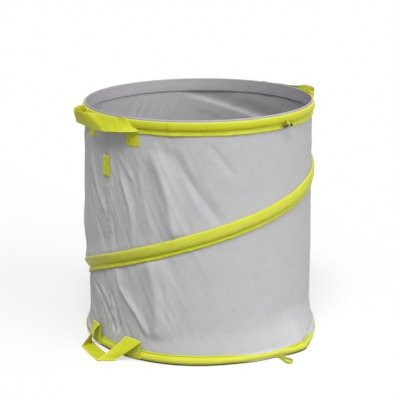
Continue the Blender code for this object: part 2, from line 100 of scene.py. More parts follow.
# Foot flare of the wall
FLARE_LOW = 0.012
FLARE_HIGH = 0.072

# Columns of the wall's mesh, closer beside its seam, and its rows from the foot up
WALL_STEP_DEG = 0.8
SEAM_COLUMNS_DEG = (-2.4, 4.4, 45)
WALL_FOOT_ROWS = 16
WALL_SHELL_ROWS = 160
WALL_TOP_ROWS = 20
# Soil and painted shade on the wall: how dark it is at the foot, and the height over which it fades
WALL_FOOT_SOIL_AND_SHADE = 0.07
WALL_FOOT_SOIL_AND_SHADE_HEIGHT = 0.05

# Corner of the foot beside the bottom hoop's joint. Each row: azimuth, share of the kink
FOOT_KINK = 0.0290
KINK_LOW = 0.018
KINK_REACH = 0.075
FOOT_KINK_SHARES = (
    (-180, 0.00),
    (10, 0.00),
    (15, 0.03),
    (20, 0.09),
    (25, 0.21),
    (30, 0.27),
    (35, 0.34),
    (40, 0.54),
    (45, 0.78),
    (48, 0.89),
    (50, 0.94),
    (52, 0.98),
    (53.5, 0.92),
    (55.5, 0.80),
    (60, 0.61),
    (65, 0.42),
    (70, 0.27),
    (75, 0.16),
    (80, 0.08),
    (85, 0.00),
    (180, 0.00),
)

# Rim band
RIM_ARCH_MIDDLE = RIM_TOP - 0.0095
RIM_ARCH_HALF = 0.0092
RIM_ARCH_DEPTH = 0.0052
RIM_FLAT = 0.0010
RIM_OVER_WALL = 0.0006
RIM_FLARE = 0.0016
RIM_JOIN_DEG = -13.9
RIM_JOIN_LENGTH_DEG = 4.2
RIM_JOIN_LIFT = 0.0010
BAND_LEAST = 0.0008
# Noise that ripples a surface. Each row: depth, run, rise, seed
RIM_RIPPLES = ((0.0007, 0.015, 0.030, 8), (0.0007, 0.050, 0.060, 9))
RIM_DENTS = ((0.00022, 0.007, 0.016, 10),)
RIM_WANDERS = ((0.0005, 0.030, 1.0, 12),)

# Hem inside the mouth
HEM_LIP_RISE = 0.0020
HEM_LIP_LOW = 0.0012
HEM_LIP_DROPS = (0.0018, 0.0025)

# Base band: a rounded welt with a narrow lip above it
BASE_ARCH_MIDDLE = 0.0104
BASE_ARCH_HALF = 0.0086
BASE_ARCH_DEPTH = 0.0062
BASE_LIP_HEIGHT = 0.0216
BASE_FULL_TOP = 0.0236
BASE_GROOVE = 18
BASE_LEAST = 0.0006
BASE_MOST = 0.0074
BASE_ROLLED = ((0.0, 0.35, 0.7), (0.0045, 0.0066, 0.0070))
BASE_LIP_HEIGHTS = (0.0196, 0.0203, BASE_LIP_HEIGHT, 0.0228, BASE_FULL_TOP)
BASE_LIP_OUTS = (0.0009, 0.0016, 0.0020, 0.0015, 0.0007)
BASE_RIPPLES = ((0.0005, 0.020, 0.020, 18), (0.00025, 0.008, 0.012, 19))
BASE_WANDERS = ((0.0006, 0.045, 1.0, 20),)
# Each row: azimuth, height of the band's upper edge, which rolls under at the sides
BASE_TOPS = (
    (-180, 0.0215),
    (-140, 0.0200),
    (-120, 0.0150),
    (-104, 0.0110),
    (-85, 0.0085),
    (-72, 0.0095),
    (-67, 0.0140),
    (-63, 0.0215),
    (-40, 0.0228),
    (0, 0.0224),
    (10, 0.0215),
    (18, 0.0192),
    (26, 0.0175),
    (33, 0.0160),
    (38.5, 0.0172),
    (43, 0.0190),
    (48, 0.0212),
    (52, 0.0226),
    (57, 0.0212),
    (63, 0.0176),
    (68, 0.0140),
    (75, 0.0108),
    (85, 0.0092),
    (100, 0.0098),
    (115, 0.0130),
    (135, 0.0195),
    (180, 0.0215),
)
ROLL_FROM = 0.0205
ROLL_OVER = 0.0030
ROLL_OUT = 0.0058
ROLL_LOW = 0.0125
ROLL_RISE = 0.0085
ROLL_EDGE = 0.0008

# Spiral sleeve, on the CAD's law
SLEEVE_OVER_WALL = 0.0006
SPIRAL_START_DEG = -143.0
SPIRAL_STOP_DEG = 185.0
SPIRAL_START_HEIGHT = 0.0553
SPIRAL_STOP_DEPTH = 0.0539
SPIRAL_FRONT_LIFT = 0.021
SPIRAL_FIRST = SPIRAL_START_HEIGHT - SPIRAL_FRONT_LIFT * math.cos(math.radians(SPIRAL_START_DEG))
SPIRAL_LAST = BAG_TOP - SPIRAL_STOP_DEPTH
SPIRAL_LAST -= SPIRAL_FRONT_LIFT * math.cos(math.radians(SPIRAL_STOP_DEG))
SLEEVE_HALF = 0.0175
SLEEVE_CREASE = -0.0088
SLEEVE_CREASE_RISE = 0.0040
SLEEVE_DEPTH = 0.0066
SLEEVE_END_DEG = 5.0
SLEEVE_STITCHED = (1, 6, 26)
SLEEVE_STRIP_OUTS = (0.0026, 0.0033, 0.0032, 0.0026, 0.0018, 0.0010)
SLEEVE_LEAST = 0.0008
SLEEVE_PUFFS = ((0.10, 0.050, 0.100, 22), (0.07, 0.016, 0.050, 23))
SLEEVE_DENTS = ((0.00032, 0.009, 0.014, 24),)
SLEEVE_WANDERS = ((0.0008, 0.050, 1.0, 25),)
SLEEVE_WAVES = ((0.0004, 0.014, 1.0, 26),)
SLEEVE_FULL_CARRY = 0.0104
# Each row: azimuth along the spiral, swell of the slack cloth at the sleeve's upper edge
SLEEVE_CARRIES = (
    (-143, 0.0020),
    (-110, 0.0080),
    (-84, 0.0104),
    (-60, 0.0080),
    (-40, 0.0045),
    (-20, 0.0018),
    (0, 0.0006),
    (60, 0.0004),
    (100, 0.0010),
    (130, 0.0035),
    (160, 0.0045),
    (185, 0.0030),
)

# Side seam
SEAM_DEG = -49.0
SEAM_SMOOTH = 0.430
SEAM_FLAP = 0.0160
SEAM_TAPE_WIDTH = 0.018
SEAM_TAPE_BOTTOM = 0.048
SEAM_RIDGE = 0.0017
SEAM_NIP = 0.0015
SEAM_TUG = 0.0007
SEAM_ROWS = (-0.0050, 0.0080)
SEAM_ROW_FOOT = 0.030
TAG_WIDTH = 0.0172
TAG_DEG = SEAM_DEG + 1.7
TAG_THICK = 0.0014
TAG_CURL = 0.0030
TAG_WAVES = ((0.0005, 0.012, 0.014, 30),)

# Floor cloth and the patch over its middle
FLOOR_EYE = 0.004
FLOOR_EDGE = 0.012
FLOOR_PUFF = 0.0006
FLOOR_WAVE = 0.0009
FLOOR_WAVE_RUN = 0.07
FLOOR_UNDER = 0.0001
PATCH_RINGS = (0.0006, 0.004, 0.012, 0.018, 0.0200)
PATCH_LIFT = 0.0014
PATCH_THICK = 0.0009

# Top handles. Each row: azimuth, radius past the rim band, height under the bag's top, for
# the lower edge and then for the upper edge
TOP_TAB_DEGS = (-32.7, -64.6)
TOP_TAB_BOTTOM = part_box("top_handle_left_end_front")[0].z
TOP_LOOP_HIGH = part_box("top_handle_left_loop")[1].z
TOP_LOOP_RADIUS = RIM_RADIUS + 2 * LAYER_GAP + 1.5 * STRAP_THICK
TOP_LOOP = (
    ((-28.9, -0.0050, 0.0280), (-36.5, 0.0000, 0.0006)),
    ((-31.0, 0.0025, 0.0281), (-38.2, 0.0004, 0.0014)),
    ((-34.1, 0.0095, 0.0288), (-39.8, 0.0003, 0.0018)),
    ((-37.9, 0.0145, 0.0300), (-42.0, 0.0002, 0.0020)),
    ((-41.9, 0.0172, 0.0315), (-46.0, 0.0002, 0.0020)),
    ((-45.1, 0.0185, 0.0327), (-51.5, 0.0040, 0.0020)),
    ((-46.4, 0.0182, 0.0331), (-55.6, 0.0100, 0.0020)),
    ((-48.6, 0.0160, 0.0341), (-57.2, 0.0150, 0.0020)),
    ((-55.6, 0.0132, 0.0347), (-59.0, 0.0205, 0.0020)),
    ((-62.6, 0.0152, 0.0342), (-61.4, 0.0262, 0.0020)),
    ((-68.0, 0.0186, 0.0332), (-64.0, 0.0290, 0.0030)),
    ((-69.9, 0.0190, 0.0332), (-65.9, 0.0294, 0.0038)),
    ((-71.4, 0.0166, 0.0334), (-69.0, 0.0252, 0.0036)),
    ((-72.3, 0.0136, 0.0333), (-71.5, 0.0202, 0.0028)),
    ((-73.2, 0.0080, 0.0331), (-73.6, 0.0118, 0.0015)),
    ((-72.5, 0.0042, 0.0332), (-73.6, 0.0054, 0.0008)),
    ((-70.0, 0.0012, 0.0335), (-72.0, 0.0010, 0.0004)),
    ((-66.0, 0.0002, 0.0335), (-70.2, 0.0004, 0.0002)),
    ((-60.8, -0.0050, 0.0330), (-68.4, 0.0000, 0.0004)),
)
RIGHT_LOOP_LIFT = 0.0040
TOP_BOX_RISE = 0.0040
TOP_BOX_DROP = 0.0045
TOP_FLUTTER = 0.0010
# Stations of a strap that turns under at its fold. Each row: shift, drop
FOLD_STATIONS = (
    (-0.007, 0.0017),
    (0.0, 0.0017),
    (0.0007, 0.0011),
    (0.0009, 0.0006),
    (0.0005, 0.0002),
)
TAB_WAVES = ((0.00025, 0.008, 0.008, 33),)

# Bottom handle. Each row: azimuth, radius past the fold, height, for its two edges
BOTTOM_TAB_DEGS = (-32.7, -59.6)
BOTTOM_TAB_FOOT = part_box("bottom_handle_end_front")[0].z
BOTTOM_FOLD_RADIUS = BASE_RADIUS + LAYER_GAP + STRAP_THICK / 2
BOTTOM_TAB_TOPS = ((0.0440, 0.0395), (0.0450, 0.0470))
BOTTOM_BOX_LOW = 0.0070
BOTTOM_BOX_HIGH = 0.0195
BOTTOM_FLUTTER = 0.0006
BOTTOM_TAB_WAVES = ((0.0002, 0.01, 0.01, 36),)
BOTTOM_LOOP = (
    ((-36.5, 0.0000, 0.0420), (-28.9, 0.0000, 0.0375)),
    ((-36.6, 0.0000, 0.0470), (-28.9, 0.0000, 0.0425)),
    ((-36.8, 0.0009, 0.0503), (-28.8, 0.0009, 0.0457)),
    ((-37.0, 0.0026, 0.0507), (-28.7, 0.0025, 0.0460)),
    ((-37.4, 0.0048, 0.0485), (-28.8, 0.0042, 0.0440)),
    ((-39.4, 0.0170, 0.0340), (-31.3, 0.0105, 0.0335)),
    ((-42.0, 0.0355, 0.0175), (-35.0, 0.0190, 0.0175)),
    ((-43.7, 0.0520, 0.0052), (-38.2, 0.0272, 0.0052)),
    ((-43.95, 0.0560, 0.0030), (-38.35, 0.0296, 0.0030)),
    ((-44.1, 0.0556, 0.0012), (-38.6, 0.0290, 0.0012)),
    ((-45.2, 0.0530, 0.0010), (-40.6, 0.0240, 0.0010)),
    ((-51.5, 0.0450, 0.0014), (-50.0, 0.0135, 0.0022)),
    ((-58.4, 0.0383, 0.0010), (-61.8, 0.0068, 0.0018)),
    ((-59.8, 0.0378, 0.0014), (-63.2, 0.0062, 0.0022)),
    ((-60.1, 0.0374, 0.0034), (-63.6, 0.0060, 0.0044)),
    ((-59.8, 0.0352, 0.0068), (-63.6, 0.0060, 0.0082)),
    ((-58.3, 0.0222, 0.0265), (-63.2, 0.0062, 0.0280)),
    ((-56.7, 0.0088, 0.0450), (-62.5, 0.0056, 0.0465)),
    ((-56.0, 0.0046, 0.0512), (-61.9, 0.0042, 0.0530)),
    ((-55.8, 0.0024, 0.0528), (-61.8, 0.0024, 0.0548)),
    ((-55.8, 0.0009, 0.0520), (-62.0, 0.0009, 0.0540)),
    ((-55.8, 0.0000, 0.0490), (-62.6, 0.0000, 0.0505)),
    ((-55.8, 0.0000, 0.0430), (-63.4, 0.0000, 0.0445)),
)

# Closure loops and toggles
CLOSURE_LOOP_DEG = 37.4
CLOSURE_LOOP_LENGTH = 0.043
CLOSURE_LOOP_HALF = 0.0078
CLOSURE_TAPE_WIDTH = 0.0060
CLOSURE_FOOT = 0.0006
CLOSURE_CLEAR_DEG = 0.64
CLOSURE_FLUTTER = 0.0002
# Half of the eye. Each row: share of its length, share of its half width
CLOSURE_SHARES = (
    (0.00, -0.30),
    (0.20, -0.38),
    (0.45, -0.66),
    (0.70, -0.97),
    (0.86, -0.93),
    (0.96, -0.55),
    (1.00, 0.00),
)
TOGGLE_DEG = 45.0
TOGGLE_STANDOFF = 0.0045
TOGGLE_TAPE_WIDTH = 0.0030
TOGGLE_TAPE_DROP = 0.0120
# Each row: shares of the standoff and of the drop
TOGGLE_TAPE_SHARES = (
    (-0.84, 1.00),
    (-0.30, 0.62),
    (0.50, 0.34),
    (0.68, 0.04),
    (0.50, -0.17),
    (0.00, -0.245),
    (-0.50, -0.17),
    (-0.66, 0.04),
    (-0.74, 0.36),
    (-0.84, 0.76),
)

# Cloth folds. Each row: path of (azimuth, height), height of the ridge or, below zero, of the
# crease, width left, width right
FOLDS = (
    (((-23.2, 0.478), (-18.4, 0.424), (-15.2, 0.373), (-11.0, 0.268)), 0.0084, 0.034, 0.026),
    (((-30.3, 0.440), (-28.4, 0.389), (-25.5, 0.336), (-21.6, 0.277)), 0.0030, 0.009, 0.010),
    (((-42.0, 0.422), (-37.8, 0.381), (-34.4, 0.342), (-32.6, 0.256)), 0.0042, 0.011, 0.012),
    (((-66.8, 0.452), (-60.3, 0.379), (-53.0, 0.324), (-50.8, 0.294)), 0.0050, 0.010, 0.014),
    (((-14.8, 0.492), (-7.4, 0.426), (3.6, 0.357), (11.5, 0.306)), -0.0036, 0.020, 0.020),
    (((4.2, 0.496), (8.8, 0.463), (17.4, 0.412)), -0.0020, 0.014, 0.016),
    (((-43.1, 0.460), (-38.0, 0.431), (-32.3, 0.398)), 0.0022, 0.006, 0.008),
    (((-53.3, 0.373), (-51.2, 0.334), (-47.6, 0.288)), -0.0026, 0.006, 0.007),
    (((-36.5, 0.307), (-34.8, 0.277), (-33.3, 0.247)), 0.0016, 0.005, 0.006),
    (((-60.5, 0.300), (-55.7, 0.266), (-51.5, 0.230)), -0.0030, 0.007, 0.006),
    (((-67.5, 0.368), (-58.0, 0.332), (-50.5, 0.300)), -0.0042, 0.016, 0.005),
    (((-47.0, 0.330), (-44.0, 0.240)), -0.0020, 0.006, 0.007),
    (((-26.5, 0.450), (-24.5, 0.420), (-22.5, 0.385)), -0.0016, 0.006, 0.005),
    (((-71.4, 0.145), (-58.9, 0.115), (-50.7, 0.074), (-45.5, 0.036)), -0.0056, 0.008, 0.006),
    (((-63.1, 0.152), (-53.8, 0.118), (-45.9, 0.069)), 0.0026, 0.007, 0.006),
    (((-49.1, 0.144), (-46.3, 0.108), (-45.1, 0.079), (-43.2, 0.039)), -0.0068, 0.006, 0.007),
    (((-46.6, 0.210), (-42.3, 0.152), (-32.4, 0.102), (-24.8, 0.047)), 0.0060, 0.012, 0.009),
    (((-25.5, 0.250), (-21.4, 0.141), (-21.4, 0.040)), 0.0084, 0.050, 0.034),
    (((-84.3, 0.084), (-69.7, 0.063), (-61.4, 0.033)), 0.0026, 0.008, 0.007),
    (((-38.8, 0.082), (-35.1, 0.053), (-32.3, 0.027)), 0.0016, 0.005, 0.006),
    (((-60.2, 0.102), (-56.4, 0.069), (-53.0, 0.031)), -0.0020, 0.005, 0.005),
    (((-19.4, 0.188), (-17.5, 0.144), (-16.7, 0.094)), -0.0012, 0.007, 0.008),
    (((49.5, 0.190), (56.0, 0.285)), 0.0012, 0.016, 0.020),
    (((-88.0, 0.430), (-78.0, 0.230)), 0.0030, 0.018, 0.018),
    (((-104.0, 0.450), (-94.0, 0.180)), 0.0038, 0.020, 0.014),
    (((-120.0, 0.420), (-112.0, 0.150)), 0.0034, 0.016, 0.022),
    (((-136.0, 0.400), (-146.0, 0.200)), 0.0036, 0.018, 0.018),
    (((-158.0, 0.440), (-150.0, 0.260)), 0.0030, 0.016, 0.014),
    (((-170.0, 0.300), (-160.0, 0.080)), 0.0034, 0.022, 0.014),
    (((172.0, 0.420), (164.0, 0.240), (160.0, 0.120)), 0.0036, 0.018, 0.022),
    (((146.0, 0.330), (138.0, 0.130)), 0.0032, 0.014, 0.022),
    (((124.0, 0.300), (116.0, 0.100)), 0.0028, 0.018, 0.016),
    (((102.0, 0.280), (96.0, 0.090)), 0.0018, 0.018, 0.020),
    (((76.0, 0.470), (82.0, 0.430)), 0.0014, 0.012, 0.012),
    (((126.0, 0.495), (132.0, 0.450)), 0.0018, 0.012, 0.012),
)
# Each row: azimuth, its spread, height, its spread, swell of the cloth there
SWELLS = (
    (-86.0, 30.0, 0.245, 0.075, 0.0092),
    (-84.0, 26.0, 0.430, 0.080, 0.0030),
    (-40.0, 26.0, 0.330, 0.080, 0.0040),
    (-134.0, 24.0, 0.300, 0.110, 0.0050),
    (168.0, 30.0, 0.230, 0.120, 0.0050),
    (112.0, 30.0, 0.200, 0.100, 0.0030),
    (-40.0, 30.0, 0.110, 0.060, 0.0016),
)
FOLD_ROUND = 0.0012
FOLD_LEAN = 0.40
# Where the cloth crumples least, how far that reaches, and what is left there
TAUT_DEG = 55
TAUT_REACH_DEG = 40
TAUT_SLACK = 0.25
CRUMPLES = ((0.0010, 0.055, 0.220, 1), (0.0006, 0.024, 0.130, 2), (0.00025, 0.012, 0.060, 3))
PUCKERS = ((0.00045, 0.0065, 0.045, 4),)
# Each row: depth, run, rise, seed, sharpness
WRINKLES = ((0.0013, 0.026, 0.240, 6, 2.0), (0.0007, 0.013, 0.150, 13, 2.4))

# Stitching
STITCH_PITCH = 0.0042
STITCH_SHARE = 0.72
THREAD_RADIUS = 0.00034
THREAD_SIDES = 5
# Five stations along a stitch: its places, its lift and its girth
STITCH_STATIONS = (0.0, 0.22, 0.5, 0.78, 1.0)
STITCH_LIFTS = (-0.9, 0.35, 0.6, 0.35, -0.9)
STITCH_GIRTHS = (0.55, 0.95, 1.0, 0.95, 0.55)
ROW_LIFT = 0.0001
BOX_PITCH = 0.0031
BOX_INSET = 0.0045

# Edges of a mesh that stay crisp
SHARP_DEG = 50

# Camera, from the ellipses of the rim and foot in the photograph
CAMERA_BACK = 2.6
CAMERA_RIGHT = 0.0015
CAMERA_HEIGHT = 1.026
CAMERA_PITCH_DEG = 15.67
CAMERA_ROLL_DEG = 0.48
FOCAL_PIXELS = 1174
IMAGE_PIXELS = 400

# Light. Each lamp: azimuth, elevation, strength, spread
KEY_LAMP = (-5, 62, 2.2, 26)
FILL_LAMP = (55, 25, 1.45, 50)
SKY_LEVEL = 0.36
GROUND_SIZE = 30.0
GROUND_DROP = 0.0008
GROUND_WHITE = 0.38
GROUND_SEEN_WHITE = 0.42
GROUND_GLOW = 0.505

# Seeded slopes of the noise
TABLE = np.random.RandomState(11)
ORDER = np.concatenate([TABLE.permutation(256)] * 2)
GRADIENTS = TABLE.normal(size=(256, 3))
GRADIENTS /= np.linalg.norm(GRADIENTS, axis=1)[:, None]


def smooth(t):
    """Ease from 0 to 1."""
    t = np.clip(t, 0, 1)
    return t * t * (3 - 2 * t)


def gradient_noise(x, y, z):
    """Seeded smooth noise, about -1 to 1, at arrays of points."""
    x, y, z = np.broadcast_arrays(x, y, z)
    cell = [np.floor(c).astype(int) for c in (x, y, z)]
    part = [c - n for c, n in zip((x, y, z), cell)]
    ease = [c * c * c * (c * (c * 6 - 15) + 10) for c in part]
    total = np.zeros(x.shape)
    for dx in (0, 1):
        for dy in (0, 1):
            for dz in (0, 1):
                spot = ORDER[(cell[0] + dx) & 255]
                spot = ORDER[(spot + cell[1] + dy) & 255]
                spot = ORDER[(spot + cell[2] + dz) & 255]
                slope = GRADIENTS[spot]
                rise = slope[..., 0] * (part[0] - dx)
                rise = rise + slope[..., 1] * (part[1] - dy)
                rise = rise + slope[..., 2] * (part[2] - dz)
                for e, d in zip(ease, (dx, dy, dz)):
                    rise = rise * (e if d else 1 - e)
                total = total + rise
    return total * 1.6


def ring_noise(azimuth, height, run, rise, seed, shear=0.0):
    """Noise round the bag with features of a given run and rise; shear leans them."""
    turn = np.radians(azimuth) + shear * height / WALL_RADIUS
    around = WALL_RADIUS / run
    return gradient_noise(
        around * np.sin(turn) + seed * 7.31,
        around * np.cos(turn) - seed * 3.17,
        height / rise + seed * 1.93,
    )


def at(azimuth, radius, height):
    """Points at azimuths, radii and heights, as an array with a last axis of three."""
    azimuth, radius, height = np.broadcast_arrays(azimuth, radius, height)
    turn = np.radians(azimuth)
    return np.stack([radius * np.sin(turn), -radius * np.cos(turn), height], axis=-1)


def ring_relief(azimuth, height, rows, shear=0.0):
    """Sum of noises round the bag. Each row: depth, run, rise, seed."""
    return sum(
        depth * ring_noise(azimuth, height, run, rise, seed, shear) for depth, run, rise, seed in rows
    )


def degrees_of(width, radius=OUTER_FACE):
    """Angle that a width takes up round the bag."""
    return math.degrees(width / radius)


def track(azimuth, rows, soften=1.5):
    """Value at azimuths between (azimuth, value) rows, with the corners rounded off."""
    places, values = zip(*rows)
    shifts = np.linspace(-soften, soften, 5)
    return sum(np.interp(azimuth + shift, places, values) for shift in shifts) / len(shifts)


def half_turn(azimuth):
    """The same azimuth between -180 and 180."""
    return (azimuth + 180) % 360 - 180


def foot_kink(azimuth):
    """How far the foot stands out of its circle."""
    return FOOT_KINK * track(half_turn(azimuth), FOOT_KINK_SHARES, 0.8)


def base_top(azimuth):
    """Height of the base band's upper edge."""
    return track(half_turn(azimuth), BASE_TOPS)


def foot_roll(azimuth):
    """1 where the base band has rolled under and the wall lies over the hoop."""
    return smooth((ROLL_FROM - base_top(azimuth)) / ROLL_OVER)


def roll_out(azimuth, height):
    """How far the rolled wall stands out over the hoop."""
    return foot_roll(azimuth) * ROLL_OUT * (1 - smooth((height - ROLL_LOW) / ROLL_RISE))


def spiral_height(azimuth):
    """Height of the sleeve's middle, at azimuths that run on from turn to turn."""
    share = (azimuth - SPIRAL_START_DEG) / (SPIRAL_STOP_DEG - SPIRAL_START_DEG)
    lift = SPIRAL_FRONT_LIFT * np.cos(np.radians(azimuth))
    return SPIRAL_FIRST + (SPIRAL_LAST - SPIRAL_FIRST) * share + lift


def sleeve_hold(azimuth, height):
    """How the sleeve holds the wall: its reach, the swell it keeps, and its close grip."""
    shape = np.broadcast(azimuth, height).shape
    reach, swell, grip = np.zeros(shape), np.zeros(shape), np.zeros(shape)
    for turn in (-360, 0, 360):
        unrolled = azimuth + turn
        off = height - spiral_height(unrolled)
        into = smooth((unrolled - SPIRAL_START_DEG + 6) / 12)
        into = into * smooth((SPIRAL_STOP_DEG + 6 - unrolled) / 12)
        past = np.abs(off) - SLEEVE_HALF
        near = into * (1 - smooth(past / np.where(off > 0, 0.040, 0.036)))
        kept = track(unrolled, SLEEVE_CARRIES, 6) * smooth((off - 0.006) / 0.0115)
        swell = np.where(near > reach, kept, swell)
        reach = np.maximum(reach, near)
        grip = np.maximum(grip, into * (1 - smooth((past + 0.006) / 0.014)))
    return reach, swell, grip


def fold(azimuth, height, path, ridge, left, right):
    """A ridge along a path on the wall, with its own width on each side."""
    nodes = [(math.radians(a) * WALL_RADIUS, h) for a, h in path]
    lengths = [math.dist(p, q) for p, q in zip(nodes, nodes[1:])]
    whole = sum(lengths)
    wrap = half_turn(azimuth - path[0][0]) + path[0][0]
    x, y = np.radians(wrap) * WALL_RADIUS, height
    best = np.full(np.broadcast(x, y).shape, 9.0)
    side = np.zeros(best.shape)
    along = np.zeros(best.shape)
    gone = 0.0
    for (px, py), (qx, qy), length in zip(nodes, nodes[1:], lengths):
        ux, uy = (qx - px) / length, (qy - py) / length
        t = np.clip((x - px) * ux + (y - py) * uy, 0, length)
        dx, dy = x - px - t * ux, y - py - t * uy
        away = np.hypot(dx, dy)
        nearer = away < best
        best = np.where(nearer, away, best)
        side = np.where(nearer, ux * dy - uy * dx, side)
        along = np.where(nearer, (gone + t) / whole, along)
        gone += length
    rising = nodes[0][1] < nodes[-1][1]
    width = np.where((side < 0) == rising, left, right)
    away = np.clip((np.sqrt(best**2 + FOLD_ROUND**2) - FOLD_ROUND) / width, 0, 1)
    fade = smooth(along / 0.22) * smooth((1 - along) / 0.16)
    return ridge * (1 - away) ** 1.5 * fade


def wall_offset(azimuth, height):
    """How far the slack wall stands off its plain tube."""
    azimuth, height = np.broadcast_arrays(azimuth, height)
    reach, kept, grip = sleeve_hold(azimuth, height)
    hung = smooth((RIM_BOTTOM + 0.002 - height) / 0.05) * smooth((height - 0.030) / 0.035)
    wrap = half_turn(azimuth)
    swells = np.zeros(azimuth.shape)
    for middle, spread, level, tall, swell in SWELLS:
        away = half_turn(wrap - middle) / spread
        swells = swells + swell * np.exp(-(away**2) - ((height - level) / tall) ** 2)
    total = swells * hung * (1 - reach) + kept * reach
    folds = np.zeros(azimuth.shape)
    for path, ridge, left, right in FOLDS:
        folds = folds + fold(azimuth, height, path, ridge, left, right)
    away = np.abs(half_turn(wrap - TAUT_DEG)) / TAUT_REACH_DEG - 1
    slack = TAUT_SLACK + (1 - TAUT_SLACK) * smooth(away)
    crumple = ring_relief(azimuth, height, CRUMPLES, FOLD_LEAN)
    for depth, run, rise, seed, sharp in WRINKLES:
        ridged = 1 - np.abs(ring_noise(azimuth, height, run, rise, seed, FOLD_LEAN)) * sharp
        crumple = crumple + depth * np.clip(ridged, 0, 1) ** 1.5
    free = hung**0.6 * (1 - grip)
    total = total + (folds + crumple * slack) * free
    edge = np.exp(-np.abs(RIM_BOTTOM - height) / 0.010) + 3.2 * grip * (1 - grip)
    edge = edge * smooth((RIM_BOTTOM - height) / 0.003)
    total = total + ring_relief(azimuth, height, PUCKERS) * edge
    return total + seam_relief(wrap, height) * (1 - grip)


def seam_relief(azimuth, height):
    """The side seam's raised allowance and the gathers that its thread pulls in."""
    aside = (azimuth - SEAM_DEG) * math.radians(1) * WALL_RADIUS
    aside = aside - 0.0008 * ring_noise(azimuth, height, 0.200, 0.016, 7)
    below = smooth((RIM_BOTTOM - height) / 0.004)
    ridge = smooth((aside + 0.004) / 0.004) * smooth((SEAM_FLAP - aside) / 0.0055)
    nips = 0.35 + 0.65 * smooth(0.5 + 1.6 * ring_noise(azimuth, height, 0.200, 0.0075, 17))
    nips = nips * smooth((SEAM_SMOOTH - height) / 0.05)
    line = np.exp(-(((aside - SEAM_ROWS[0]) / 0.0022) ** 2)) * nips
    tug = np.exp(-np.abs(aside + 0.003) / 0.013) * smooth((RIM_BOTTOM - height) / 0.02)
    gathers = ring_noise(azimuth, height, 0.024, 0.0085, 5)
    return (SEAM_RIDGE * ridge - SEAM_NIP * line) * below + SEAM_TUG * tug * gathers


def flare_out(height):
    """How far the wall's foot flares."""
    return (FOOT_RADIUS - WALL_RADIUS) * (1 - smooth((height - FLARE_LOW) / (FLARE_HIGH - FLARE_LOW)))


def wall_radius(azimuth, height):
    """Radius of the wall's outer side."""
    kink = foot_kink(azimuth) * (1 - np.clip((height - KINK_LOW) / KINK_REACH, 0, 1)) ** 1.5
    shape = flare_out(height) + kink + roll_out(azimuth, height)
    return WALL_RADIUS + shape + wall_offset(azimuth, height)


def thicken(outline, thick):
    """Closed sections from open ones: (..., points, 2) outer lines, given a back side."""
    step = np.gradient(outline, axis=-2)
    step = step / np.maximum(np.linalg.norm(step, axis=-1, keepdims=True), 1e-9)
    out = np.stack([step[..., 1], -step[..., 0]], axis=-1)
    back = outline - out * thick
    first = (outline[..., :1, :] + back[..., :1, :]) / 2 - step[..., :1, :] * thick / 2
    last = (outline[..., -1:, :] + back[..., -1:, :]) / 2 + step[..., -1:, :] * thick / 2
    return np.concatenate([outline, last, back[..., ::-1, :], first], axis=-2)


def unit(vectors):
    """Vectors of length one."""
    return vectors / np.linalg.norm(vectors, axis=-1, keepdims=True)


def run_of(points):
    """Length gone at each of a row of points."""
    return np.concatenate([[0.0], np.cumsum(np.linalg.norm(np.diff(points, axis=0), axis=1))])


def add(name, data):
    """New object in the scene."""
    made = bpy.data.objects.new(name, data)
    bpy.context.scene.collection.objects.link(made)
    return made


def mesh_piece(name, points, faces, materials):
    """Object with a smooth mesh."""
    mesh = bpy.data.meshes.new(name)
    mesh.from_pydata(points.tolist(), [], faces)
    for material in materials:
        mesh.materials.append(material)
    mesh.shade_smooth()
    mesh.update()
    return add(name, mesh)


def skin(name, sections, closed, materials, backs=None):
    """Mesh over a row of closed sections, an array (rows, points, 3), with cloth UVs in metres."""
    rows, points = sections.shape[:2]
    i, j = np.meshgrid(np.arange(rows if closed else rows - 1), np.arange(points), indexing="ij")
    i, j = i.ravel(), j.ravel()
    i2, j2 = (i + 1) % rows, (j + 1) % points
    quads = np.stack([i * points + j, i2 * points + j, i2 * points + j2, i * points + j2], axis=1)
    middle, widest = sections.mean(axis=1), sections[rows // 2]
    along = run_of(np.concatenate([middle, middle[:1]]))
    across = run_of(np.concatenate([widest, widest[:1]]))
    steps = ((i, j), (i + 1, j), (i + 1, j + 1), (i, j + 1))
    uvs = np.stack([np.stack([along[a], across[b]], axis=1) for a, b in steps], axis=1)
    flat = sections.reshape(-1, 3)
    a, b, c, d = (flat[quads[:, n]] for n in range(4))
    volume = np.einsum("ij,ij->", a, np.cross(b, c)) + np.einsum("ij,ij->", a, np.cross(c, d))
    ends = [list(range(points)), list(range((rows - 1) * points, rows * points))]
    if volume < 0:
        quads, uvs = quads[:, ::-1], uvs[:, ::-1]
        ends[1].reverse()
    else:
        ends[0].reverse()
    faces, uvs = quads.tolist(), uvs.reshape(-1, 2)
    if not closed:
        faces += ends
        uvs = np.concatenate([uvs, np.zeros((2 * points, 2))])
    made = mesh_piece(name, flat, faces, materials)
    layer = made.data.uv_layers.new(name="cloth")
    layer.data.foreach_set("uv", uvs.astype(np.float32).ravel())
    if backs is not None:
        index = np.zeros(len(faces), np.int32)
        index[: len(quads)] = backs[j]
        made.data.polygons.foreach_set("material_index", index)
    made.data.set_sharp_from_angle(angle=math.radians(SHARP_DEG))
    made.data.update()
    return made


def round_skin(name, around, sections, closed, materials, backs=None):
    """Skin over sections of radius and height at azimuths; also gives the sections."""
    points = at(around[:, None], sections[..., 0], sections[..., 1])
    return skin(name, points, closed, materials, backs), sections


def grid(around, low, high, rows):
    """Azimuths and heights of a sheet's points."""
    return np.meshgrid(around, np.linspace(low, high, rows), indexing="ij")


def near_edges(share, low, high, spread):
    """1 at either edge, falling off over a spread."""
    return np.exp(-np.abs(share - low) / spread) + np.exp(-np.abs(share - high) / spread)


